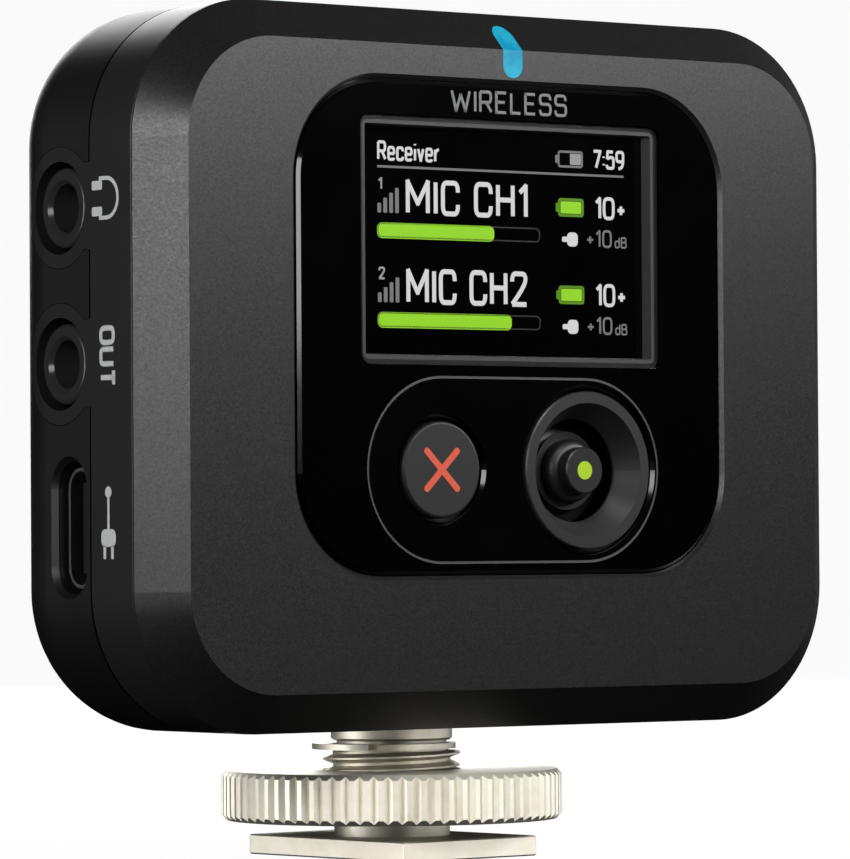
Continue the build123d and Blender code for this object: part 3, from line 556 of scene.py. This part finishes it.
def straight(*points: tuple[float, float]) -> PenLine:
    """Returns a stroke of straight runs."""
    return PenLine(points)


def curve(*points: tuple[float, float]) -> PenLine:
    """Returns a curved stroke."""
    return PenLine(points, True)


def loop(*points: tuple[float, float]) -> PenLine:
    """Returns a closed curved stroke."""
    return PenLine(points, True, True)


SPACE_WIDTH = 0.12
LETTER_GAP = 0.24
ROUND_O = loop((0, 0.5), (0, 1), (0.26, 1), (0.52, 1), (0.52, 0.5), (0.52, 0), (0.26, 0), (0, 0))
LETTERS: dict[str, tuple[PenLine, ...]] = {
    " ": (),
    "W": (straight((0, 1), (0.2, 0), (0.42, 0.8), (0.64, 0), (0.84, 1)),),
    "I": (straight((0.02, 0), (0.02, 1)),),
    "R": (straight((0, 0), (0, 1)), curve((0, 1), (0.25, 1), (0.5, 1), (0.5, 0.47), (0.25, 0.47), (0, 0.47)),
          straight((0.27, 0.47), (0.52, 0))),
    "E": (straight((0.46, 1), (0, 1), (0, 0), (0.46, 0)), straight((0, 0.52), (0.4, 0.52))),
    "L": (straight((0, 1), (0, 0), (0.44, 0)),),
    "S": (curve((0.48, 0.76), (0.48, 1), (0.24, 1), (0, 1), (0, 0.53), (0.24, 0.53), (0.5, 0.53), (0.5, 0),
                (0.24, 0), (0, 0), (0, 0.25)),),
    "M": (straight((0, 0), (0, 1), (0.33, 0.3), (0.66, 1), (0.66, 0)),),
    "C": (curve((0.5, 0.7), (0.5, 1), (0.25, 1), (0, 1), (0, 0.5), (0, 0), (0.25, 0), (0.5, 0), (0.5, 0.3)),),
    "H": (straight((0, 0), (0, 1)), straight((0.5, 0), (0.5, 1)), straight((0, 0.52), (0.5, 0.52))),
    "O": (ROUND_O,),
    "0": (ROUND_O,),
    "U": (curve((0, 1), (0, 0.75), (0, 0.5), (0, 0), (0.26, 0), (0.52, 0), (0.52, 0.5), (0.52, 0.75), (0.52, 1)),),
    "T": (straight((0, 1), (0.5, 1)), straight((0.25, 1), (0.25, 0))),
    "1": (straight((0, 0.78), (0.2, 1), (0.2, 0)),),
    "2": (curve((0, 0.74), (0, 1), (0.24, 1), (0.49, 1), (0.49, 0.62), (0, 0)), straight((0, 0), (0.52, 0))),
    "5": (straight((0.46, 1), (0.06, 1), (0.03, 0.55)),
          curve((0.03, 0.55), (0.12, 0.64), (0.5, 0.68), (0.5, 0.3), (0.5, 0), (0.24, 0), (0, 0), (0, 0.2))),
    "7": (straight((0, 1), (0.5, 1), (0.18, 0)),),
    "9": (loop((0, 0.72), (0, 1), (0.25, 1), (0.5, 1), (0.5, 0.72), (0.5, 0.42), (0.25, 0.42), (0, 0.42)),
          curve((0.5, 0.72), (0.5, 0.3), (0.36, 0), (0.14, 0))),
    ":": (straight((0.02, 0.16), (0.02, 0.24)), straight((0.02, 0.62), (0.02, 0.7))),
    "+": (straight((0, 0.42), (0.38, 0.42)), straight((0.19, 0.2), (0.19, 0.64))),
    "B": (straight((0, 0), (0, 1)), curve((0, 1), (0.25, 1), (0.46, 1), (0.46, 0.54), (0.25, 0.54), (0, 0.54)),
          curve((0, 0.54), (0.25, 0.54), (0.5, 0.54), (0.5, 0), (0.25, 0), (0, 0))),
    "d": (loop((0, 0.3), (0, 0.64), (0.2, 0.64), (0.42, 0.64), (0.42, 0.3), (0.42, 0), (0.2, 0), (0, 0)),
          straight((0.42, 0), (0.42, 1))),
    "e": (straight((0.02, 0.34), (0.42, 0.34)),
          curve((0.42, 0.34), (0.42, 0.7), (0.21, 0.7), (0, 0.7), (0, 0.34), (0, 0), (0.21, 0), (0.38, 0),
                (0.41, 0.1))),
    "c": (curve((0.4, 0.5), (0.4, 0.7), (0.2, 0.7), (0, 0.7), (0, 0.34), (0, 0), (0.2, 0), (0.4, 0), (0.4, 0.18)),),
    "i": (straight((0.02, 0), (0.02, 0.66)), straight((0.02, 0.88), (0.02, 0.96))),
    "v": (straight((0, 0.68), (0.19, 0), (0.38, 0.68)),),
    "r": (straight((0, 0), (0, 0.68)), curve((0, 0.36), (0.04, 0.68), (0.28, 0.68))),
}


@dataclass
class MarkMaker:
    """Makes flat printed or lit marks on one face; sizes are in millimetres on that face."""

    face: MarkFace
    body: str
    thickness: float = 0.012

    def lay(self, obj: bpy.types.Object, name: str, finish: Finishes, slot: str) -> bpy.types.Object:
        """Puts a finished mark on the face, dresses it and hands it to its body.

        Args:
            obj: the mark, modelled in the face's own millimetres.
            name: the piece's name.
            finish: its finish.
            slot: not used.

        Returns:
            The same object.
        """
        obj.name = name
        obj.data.name = name
        obj.data.transform(self.face.matrix() @ obj.matrix_world)
        obj.matrix_world = Matrix.Identity(4)
        obj.data.materials.clear()
        obj.data.materials.append(finish.material())
        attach(obj, self.body)
        LOG.info("mark %s on %s", name, self.body)
        return obj

    def thicken(self) -> None:
        """Extrudes the selected flat faces of the mesh in edit mode to the mark's thickness."""
        bpy.ops.mesh.extrude_region_move(TRANSFORM_OT_translate={"value": (0, 0, self.thickness)})
        bpy.ops.mesh.select_all(action="SELECT")
        bpy.ops.mesh.normals_make_consistent(inside=False)
        bpy.ops.object.mode_set(mode="OBJECT")

    def bar(self, x: float, y: float, width: float, height: float, radius: float = 0.0,
            rim: float = 0.0) -> bpy.types.Object:
        """Makes a rounded bar, or its outline.

        Args:
            x: its left edge.
            y: its bottom edge.
            width: its width.
            height: its height.
            radius: its corner radius.
            rim: the outline's width, or 0 for a solid bar.

        Returns:
            The bar, not yet laid.
        """
        bpy.ops.object.select_all(action="DESELECT")
        bpy.ops.mesh.primitive_plane_add(size=1.0, location=(x + width / 2, y + height / 2, 0))
        obj = bpy.context.object
        obj.scale = (width, height, 1.0)
        bpy.ops.object.transform_apply(location=True, rotation=True, scale=True)
        bpy.ops.object.mode_set(mode="EDIT")
        bpy.ops.mesh.select_all(action="SELECT")
        if radius:
            bpy.ops.mesh.bevel(offset=min(radius, width * 0.499, height * 0.499), segments=6, affect="VERTICES")
        if rim:
            bpy.ops.mesh.select_mode(type="FACE")
            bpy.ops.mesh.select_all(action="SELECT")
            bpy.ops.mesh.inset(thickness=rim, depth=0)
            bpy.ops.mesh.delete(type="FACE")
            bpy.ops.mesh.select_all(action="SELECT")
        self.thicken()
        return obj

    def disc(self, x: float, y: float, radius: float) -> bpy.types.Object:
        """Makes a thin round dot at x, y and returns it."""
        bpy.ops.object.select_all(action="DESELECT")
        bpy.ops.mesh.primitive_circle_add(vertices=32, radius=radius, fill_type="NGON", location=(x, y, 0))
        bpy.ops.object.transform_apply(location=True, rotation=True, scale=True)
        bpy.ops.object.mode_set(mode="EDIT")
        bpy.ops.mesh.select_all(action="SELECT")
        self.thicken()
        return bpy.context.object

    def arc(self, x: float, y: float, radius: float, width: float, start: float, sweep: float) -> bpy.types.Object:
        """Makes a curved band by spinning one short edge round a centre.

        Args:
            x: the centre's place along the face's right.
            y: the centre's place along the face's up.
            radius: the band's middle radius.
            width: the band's width.
            start: the first end's angle, in degrees from the face's right.
            sweep: how far it runs, in degrees.

        Returns:
            The band, not yet laid.
        """
        bpy.ops.object.select_all(action="DESELECT")
        first = math.radians(start)
        bpy.ops.mesh.primitive_plane_add(size=1.0)
        obj = bpy.context.object
        inner, outer = radius - width / 2, radius + width / 2
        ends = [Vector((x + r * math.cos(first), y + r * math.sin(first), 0)) for r in (inner, outer)]
        bpy.ops.object.mode_set(mode="EDIT")
        bpy.ops.mesh.select_mode(type="VERT")
        bpy.ops.mesh.select_all(action="SELECT")
        bpy.ops.mesh.merge(type="CENTER")
        bpy.ops.transform.translate(value=ends[0])
        bpy.ops.mesh.extrude_region_move(TRANSFORM_OT_translate={"value": ends[1] - ends[0]})
        bpy.ops.mesh.select_all(action="SELECT")
        bpy.ops.mesh.spin(steps=24, angle=-math.radians(sweep), center=(x, y, 0), axis=(0, 0, 1))
        bpy.ops.mesh.select_all(action="SELECT")
        self.thicken()
        return obj

    def words(self, text: str, x: float, y: float, height: float, width: float,
              stroke: float) -> bpy.types.Object:
        """Sets a line of generic one-stroke lettering, fitted to a height and a width.

        Args:
            text: the letters.
            x: the line's left edge.
            y: its base line.
            height: the height of its capitals.
            width: the line's full width.
            stroke: the width of every stroke.

        Returns:
            The lettering, not yet laid.
        """
        pen = bpy.data.curves.new("lettering", "CURVE")
        pen.dimensions = "3D"
        pen.bevel_depth = stroke / 2
        pen.bevel_resolution = 1
        pen.use_fill_caps = True
        pen.resolution_u = 4
        strokes, at = [], 0.0
        for letter in text:
            wide = max((point[0] for line in LETTERS[letter] for point in line.points), default=SPACE_WIDTH)
            strokes += [line.moved(at) for line in LETTERS[letter]]
            at += wide + LETTER_GAP
        across = (width - stroke) / (at - LETTER_GAP)
        rise = height - stroke
        for line in strokes:
            points = [Vector((x + stroke / 2 + px * across, y + stroke / 2 + py * rise, 0)) for px, py in line.points]
            for run in line.runs(points, stroke):
                spline = pen.splines.new("NURBS" if line.curved else "POLY")
                spline.points.add(len(run) - 1)
                for node, place in zip(spline.points, run):
                    node.co = (*place, 1.0)
                if line.curved:
                    spline.order_u = 4 if line.closed else 3
                    spline.use_cyclic_u = line.closed
                    spline.use_endpoint_u = not line.closed
        obj = bpy.data.objects.new("lettering", pen)
        bpy.context.collection.objects.link(obj)
        bpy.ops.object.select_all(action="DESELECT")
        obj.select_set(True)
        bpy.context.view_layer.objects.active = obj
        bpy.ops.object.convert(target="MESH")
        obj = bpy.context.object
        flat = self.thickness / stroke
        obj.data.transform(Matrix.Translation((0, 0, self.thickness / 2)) @ Matrix.Diagonal((1, 1, flat, 1)))
        return obj

    def joined(self, parts: Sequence[bpy.types.Object]) -> bpy.types.Object:
        """Joins several marks into one mesh and returns it."""
        bpy.ops.object.select_all(action="DESELECT")
        for part in parts:
            part.select_set(True)
        bpy.context.view_layer.objects.active = parts[0]
        bpy.ops.object.join()
        return bpy.context.object


# ---- Sub-assemblies ----


@dataclass
class ScreenPicture:
    """The receiver's status screen: a title line and two transmitter rows."""

    left: float = -11.85
    full_level: float = 15.45
    signal_heights: tuple[float, ...] = (0.72, 1.12, 1.5, 1.88)
    signal_step: float = 0.55
    row_drop: float = 6.7
    levels: tuple[float, float] = (0.715, 0.82)
    names: tuple[str, str] = ("MIC CH1", "MIC CH2")
    slot: str = "lcd"
    maker: MarkMaker = field(init=False)

    def __post_init__(self) -> None:
        """Finds the display's face and the sight's centre."""
        sight_low, sight_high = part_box("screen_bezel")
        glass_low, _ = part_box("lcd_panel")
        origin = ((sight_low[0] + sight_high[0]) / 2, glass_low[1] - 0.01 * MM, (sight_low[2] + sight_high[2]) / 2)
        self.maker = MarkMaker(MarkFace(origin, (1, 0, 0), (0, 0, 1)), "case")

    def title(self) -> None:
        """Makes the title line: the word, the unit's own battery, the clock and the rule."""
        make = self.maker
        make.lay(make.words("Receiver", self.left, 5.95, 1.5, 5.9, 0.22), "screen_title", Finishes.LIT_WHITE, self.slot)
        make.lay(make.bar(self.left, 5.42, 23.65, 0.17), "screen_rule", Finishes.LIT_GREY, self.slot)
        case = make.bar(5.35, 6.02, 2.45, 1.3, 0.25, 0.17)
        nub = make.bar(5.1, 6.35, 0.26, 0.62, 0.1)
        make.lay(make.joined([case, nub]), "screen_own_battery", Finishes.LIT_GREY, self.slot)
        make.lay(make.bar(6.55, 6.25, 1.05, 0.85, 0.1), "screen_own_charge", Finishes.LIT_SILVER, self.slot)
        make.lay(make.words("7:59", 8.75, 6.0, 1.5, 3.15, 0.24), "screen_clock", Finishes.LIT_WHITE, self.slot)

    def row(self, index: int) -> None:
        """Makes one transmitter's row.

        Args:
            index: 0 for the upper row, 1 for the lower.
        """
        make = self.maker
        drop = -self.row_drop * index
        tag = f"_{index + 1}"
        name = make.words(str(index + 1), -11.8, 3.75 + drop, 0.95, 0.4 + 0.25 * index, 0.16)
        make.lay(name, "screen_number" + tag, Finishes.LIT_SILVER, self.slot)
        bars = [make.bar(self.left + self.signal_step * i, 2.05 + drop, 0.34, height, 0.08)
                for i, height in enumerate(self.signal_heights)]
        make.lay(make.joined(bars), "screen_signal" + tag, Finishes.LIT_GREY, self.slot)
        channel = make.words(self.names[index], -9.2, 1.95 + drop, 2.7, 11.6, 0.37)
        make.lay(channel, "screen_channel" + tag, Finishes.LIT_WHITE, self.slot)
        make.lay(make.bar(self.left - 0.02, 0.2 + drop, self.full_level, 1.1, 0.42, 0.1), "screen_level_frame" + tag,
                 Finishes.LIT_DIM, self.slot)
        level = make.bar(self.left - 0.04, 0.14 + drop, self.full_level * self.levels[index], 1.18, 0.45)
        level.location.z = 0.01
        make.lay(level, "screen_level" + tag, Finishes.LIT_GREEN, self.slot)
        case = make.bar(5.35, 2.25 + drop, 2.5, 1.42, 0.25, 0.22)
        nub = make.bar(5.12, 2.6 + drop, 0.26, 0.7, 0.1)
        make.lay(make.joined([case, nub]), "screen_battery" + tag, Finishes.LIT_LEAF, self.slot)
        make.lay(make.bar(5.6, 2.5 + drop, 2.0, 0.92, 0.1), "screen_charge" + tag, Finishes.LIT_GREEN, self.slot)
        hours = make.words("10+", 8.95, 2.1 + drop, 1.78, 3.05, 0.27)
        make.lay(hours, "screen_hours" + tag, Finishes.LIT_WHITE, self.slot)
        head = make.bar(6.2, -0.02 + drop, 1.05, 1.08, 0.36)
        prong = make.bar(5.72, 0.32 + drop, 0.6, 0.4, 0.12)
        make.lay(make.joined([head, prong]), "screen_plug" + tag, Finishes.LIT_WHITE, self.slot)
        gain = make.words("+10", 8.1, -0.05 + drop, 1.38, 2.5, 0.18)
        make.lay(gain, "screen_gain" + tag, Finishes.LIT_GREY, self.slot)
        unit = make.words("dB", 10.88, -0.05 + drop, 0.88, 1.2, 0.13)
        make.lay(unit, "screen_unit" + tag, Finishes.LIT_GREY, self.slot)

    def build(self) -> None:
        """Makes the whole picture."""
        self.title()
        for index in range(len(self.names)):
            self.row(index)


@dataclass
class PrintedMarks:
    """The printed word above the screen and the marks beside the ports."""

    word: str = "WIRELESS"
    word_width: float = 11.2
    word_height: float = 1.75
    word_stroke: float = 0.26
    word_lift: float = 0.4
    word_shift: float = -0.4
    stroke: float = 0.3
    border: float = 0.36
    border_fit: float = 0.04

    def window_border(self) -> None:
        """Prints the black border on the back of the window, which hides the bezel's outer rim."""
        low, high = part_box("display_window")
        middle = ((low[0] + high[0]) / 2, high[1] + 0.02 * MM, (low[2] + high[2]) / 2)
        wide, tall = ((high[axis] - low[axis]) / MM - self.border_fit for axis in (0, 2))
        make = MarkMaker(MarkFace(middle, (1, 0, 0), (0, 0, 1)), "case")
        ring = make.bar(-wide / 2, -tall / 2, wide, tall, 0.85, self.border)
        make.lay(ring, "window_border", Finishes.BORDER_INK, "black_gloss")

    def panel_word(self) -> None:
        """Prints the generic word above the screen."""
        low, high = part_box("fascia_panel")
        _, sight_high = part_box("screen_bezel")
        face = MarkFace(((low[0] + high[0]) / 2, low[1], sight_high[2]), (1, 0, 0), (0, 0, 1))
        make = MarkMaker(face, "case")
        start = self.word_shift - self.word_width / 2
        word = make.words(self.word, start, self.word_lift, self.word_height, self.word_width, self.word_stroke)
        make.lay(word, "panel_word", Finishes.PANEL_INK, "black_gloss")

    def side_maker(self, node: str, forward: float) -> MarkMaker:
        """Returns a maker for a mark in front of a port, turned to read downwards.

        Args:
            node: the port's node, which the mark stands beside.
            forward: how far in front of the port's centre the mark's base line lies, in millimetres.
        """
        low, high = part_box(node)
        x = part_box("middle_frame")[0][0]
        origin = (x, (low[1] + high[1]) / 2 - forward * MM, (low[2] + high[2]) / 2)
        return MarkMaker(MarkFace(origin, (0, 0, -1), (0, -1, 0)), "case", 0.01)

    def headphones(self) -> None:
        """Prints a pair of headphones: a band over two pads."""
        make = self.side_maker("headphone_jack_barrel", 4.35)
        shift, reach, spring, leg_foot = -0.45, 1.45, 1.93, 0.95
        band = make.arc(shift, spring, reach, self.stroke, 0.0, 180.0)
        legs = [make.bar(shift + side * reach - self.stroke / 2, leg_foot, self.stroke, spring - leg_foot)
                for side in (-1, 1)]
        pads = [make.bar(shift + side * 0.96 - 0.34, 0.0, 0.68, 1.35, 0.16) for side in (-1, 1)]
        make.lay(make.joined([band, *pads, *legs]), "headphone_mark", Finishes.SIDE_INK, "dark_plastic")

    def out_word(self) -> None:
        """Prints the word beside the line-out jack."""
        make = self.side_maker("line_out_jack_barrel", 5.2)
        make.lay(make.words("OUT", -2.7, 0.0, 2.1, 4.6, 0.46), "out_mark", Finishes.SIDE_INK, "dark_plastic")

    def plug_mark(self) -> None:
        """Prints a plain plug with its lead beside the data port."""
        make = self.side_maker("usb_shell", 3.84)
        middle = 1.38
        stem = make.bar(-2.2, middle - 0.14, 2.3, 0.28)
        body = make.bar(0.1, middle - 0.95, 1.3, 1.9, 0.5)
        prongs = [make.bar(1.3, middle + side * 0.5 - 0.17, 1.0, 0.34, 0.1) for side in (-1, 1)]
        end = make.disc(-2.61, middle, 0.42)
        make.lay(make.joined([stem, body, end, *prongs]), "plug_mark", Finishes.SIDE_INK, "dark_plastic")

    def build(self) -> None:
        """Makes every printed mark."""
        self.window_border()
        self.panel_word()
        self.headphones()
        self.out_word()
        self.plug_mark()


@dataclass
class Receiver:
    """The whole receiver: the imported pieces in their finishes, the screen's picture and the print."""

    picture: ScreenPicture = field(default_factory=ScreenPicture)
    marks: PrintedMarks = field(default_factory=PrintedMarks)

    def dress(self) -> None:
        """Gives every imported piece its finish."""
        for node, finish in CAD_FINISHES.items():
            obj = frame["nodes"][node]
            obj.data.materials.clear()
            obj.data.materials.append(finish.material())
            LOG.info("dressed %s in %s", node, finish.value.name)

    def build(self) -> None:
        """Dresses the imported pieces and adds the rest."""
        self.dress()
        self.picture.build()
        self.marks.build()


# ---- Studio ----


@dataclass
class SoftLight:
    """A square soft box; one with pieces named lights only those."""

    name: str
    place: tuple[float, float, float]
    aim: tuple[float, float, float]
    size: tuple[float, float]
    radiance: float
    only: tuple[str, ...] = ()

    def build(self) -> None:
        """Adds the lamp, turned to its aim."""
        data = bpy.data.lights.new(self.name, "AREA")
        data.shape = "RECTANGLE"
        data.size, data.size_y = self.size
        data.energy = self.radiance * math.pi * self.size[0] * self.size[1]
        lamp = bpy.data.objects.new(self.name, data)
        bpy.context.collection.objects.link(lamp)
        lamp.location = self.place
        lamp.rotation_euler = (Vector(self.aim) - Vector(self.place)).to_track_quat("-Z", "Y").to_euler()
        lamp.visible_camera = False
        if self.only:
            group = bpy.data.collections.new(self.name + "_lit")
            for node in self.only:
                group.objects.link(frame["nodes"][node])
            lamp.light_linking.receiver_collection = group
        LOG.info("light %s", self.name)


METAL_PIECES = ("foot_plate", "lock_nut", "shoe_stem", "stem_clip")
STICK_PIECES = ("joystick_collar", "joystick_cap", "joystick_shield")


@dataclass
class Studio:
    """A pale drum for a room, soft lights and the camera."""

    lens_mm: float = 238.8
    azimuth: float = -36.97
    elevation: float = -1.13
    roll: float = -0.37
    distance: float = 0.4217
    aim: tuple[float, float, float] = (-0.00858, -0.016, 0.03274)
    room_radius: float = 1.6
    strong: float = 8.0
    gentle: float = 4.0
    card: float = 1.5

    def lights(self) -> tuple[SoftLight, ...]:
        """Returns the lamps: strong strips, a gentle side fill, and cards that only the metal foot sees."""
        case, foot = (0.0, -0.016, 0.037), (0.0, 0.0, 0.004)
        left_edge, face_top = (-0.03, -0.013, 0.037), (0.0, -0.016, 0.05)
        wide = (0.3, 0.3)
        return (
            SoftLight("left_strip", (-0.30, -0.225, 0.11), left_edge, (0.12, 0.12), self.strong),
            SoftLight("left_side_fill", (-0.36, 0.12, 0.06), left_edge, (0.12, 0.2), self.gentle),
            SoftLight("front_right_strip", (0.108, -0.165, 0.122), face_top, (0.30, 0.05), self.strong * 1.1),
            SoftLight("right_rim_card", (0.36, 0.05, 0.06), case, (0.08, 0.2), self.gentle * 0.2),
            SoftLight("back_fill", (0.22, 0.4, 0.22), case, wide, self.gentle),
            SoftLight("stick_top_box", (-0.1, -0.18, 0.33), case, (0.2, 0.12), self.strong, STICK_PIECES),
            SoftLight("metal_back_card", (-0.33, 0.16, 0.0), foot, wide, self.card * 1.3, METAL_PIECES),
            SoftLight("metal_left_card", (-0.36, -0.1, 0.0), foot, wide, self.card * 0.4, METAL_PIECES),
            SoftLight("metal_front_card", (0.12, -0.34, 0.0), foot, wide, self.card, METAL_PIECES),
            SoftLight("metal_right_card", (0.34, -0.14, 0.0), foot, wide, self.card, METAL_PIECES),
            SoftLight("metal_top_strip", (-0.1, -0.2, 0.16), foot, (0.3, 0.08), self.strong * 1.5, METAL_PIECES),
        )

    def room(self) -> None:
        """Makes the pale floor and the drum-shaped wall round it, which light nothing themselves."""
        bpy.ops.object.select_all(action="DESELECT")
        bpy.ops.mesh.primitive_circle_add(vertices=96, radius=self.room_radius, fill_type="NGON")
        drum = bpy.context.object
        drum.name = "studio_floor"
        bpy.ops.object.mode_set(mode="EDIT")
        bpy.ops.mesh.select_mode(type="EDGE")
        bpy.ops.mesh.select_all(action="SELECT")
        bpy.ops.mesh.extrude_edges_move(TRANSFORM_OT_translate={"value": (0, 0, self.room_radius)})
        bpy.ops.object.mode_set(mode="OBJECT")
        paper = bpy.data.materials.new("seamless_white_paper")
        paper.use_nodes = True
        tree = paper.node_tree
        tree.nodes.clear()
        place = add_node(tree, "ShaderNodeTexCoord")
        fibre = add_node(tree, "ShaderNodeTexNoise", {"Scale": pattern_scale(2.0), "Detail": 3.0},
                         {"Vector": place.outputs["Object"]})
        relief = add_node(tree, "ShaderNodeBump", {"Strength": 0.05, "Distance": 0.05 * MM},
                          {"Height": fibre.outputs["Fac"]})
        shader = add_node(tree, "ShaderNodeBsdfPrincipled", {
            "Base Color": linear("#606060"), "Roughness": 0.95, "Specular IOR Level": 0.0,
            "Emission Color": linear("#fdfdfd"), "Emission Strength": 0.97}, {"Normal": relief.outputs["Normal"]})
        add_node(tree, "ShaderNodeOutputMaterial", links={"Surface": shader.outputs["BSDF"]})
        drum.data.materials.append(paper)
        drum.visible_glossy = False
        drum.visible_diffuse = False
        drum.visible_transmission = False
        drum.visible_shadow = False

    def surround(self) -> None:
        """Lights the room round the receiver faintly: a little from above, almost none from below."""
        world = bpy.data.worlds.new("studio_room")
        bpy.context.scene.world = world
        world.use_nodes = True
        tree = world.node_tree
        tree.nodes.clear()
        place = add_node(tree, "ShaderNodeTexCoord")
        split = add_node(tree, "ShaderNodeSeparateXYZ", links={"Vector": place.outputs["Generated"]})
        height = add_node(tree, "ShaderNodeMapRange", {"From Min": -1.0, "From Max": 1.0},
                          {"Value": split.outputs["Z"]})
        ramp = add_node(tree, "ShaderNodeValToRGB", links={"Fac": height.outputs["Result"]})
        ramp.color_ramp.elements[0].position = 0.4
        ramp.color_ramp.elements[0].color = (0.002, 0.002, 0.002, 1)
        ramp.color_ramp.elements[1].position = 0.75
        ramp.color_ramp.elements[1].color = (0.03, 0.03, 0.03, 1)
        glow = add_node(tree, "ShaderNodeBackground", {"Strength": 1.0}, {"Color": ramp.outputs["Color"]})
        add_node(tree, "ShaderNodeOutputWorld", links={"Surface": glow.outputs["Background"]})

    def camera(self) -> None:
        """Sets the camera at its angle, distance and small roll."""
        turn, lift = math.radians(self.azimuth), math.radians(self.elevation)
        away = Vector((math.sin(turn) * math.cos(lift), -math.cos(turn) * math.cos(lift), math.sin(lift)))
        right = (-away).cross(Vector((0, 0, 1))).normalized()
        up = right.cross(-away)
        roll = math.radians(self.roll)
        across = math.cos(roll) * right + math.sin(roll) * up
        above = math.cos(roll) * up - math.sin(roll) * right
        data = bpy.data.cameras.new("studio_camera")
        data.lens = self.lens_mm
        data.sensor_width = 36.0
        data.sensor_fit = "HORIZONTAL"
        data.clip_start = 0.01
        data.clip_end = 30.0
        camera = bpy.data.objects.new("studio_camera", data)
        bpy.context.collection.objects.link(camera)
        axes = Matrix((across, above, away)).transposed().to_4x4()
        camera.matrix_world = Matrix.Translation(Vector(self.aim) + away * self.distance) @ axes
        bpy.context.scene.camera = camera

    def build(self) -> None:
        """Sets up the studio."""
        bpy.context.scene.view_settings.view_transform = "Standard"
        self.room()
        self.surround()
        for light in self.lights():
            light.build()
        self.camera()


def main() -> None:
    """Builds the receiver and its studio."""
    logging.basicConfig(level=logging.INFO, format="%(name)s: %(message)s")
    Receiver().build()
    Studio().build()


if __name__ == "__main__":
    main()
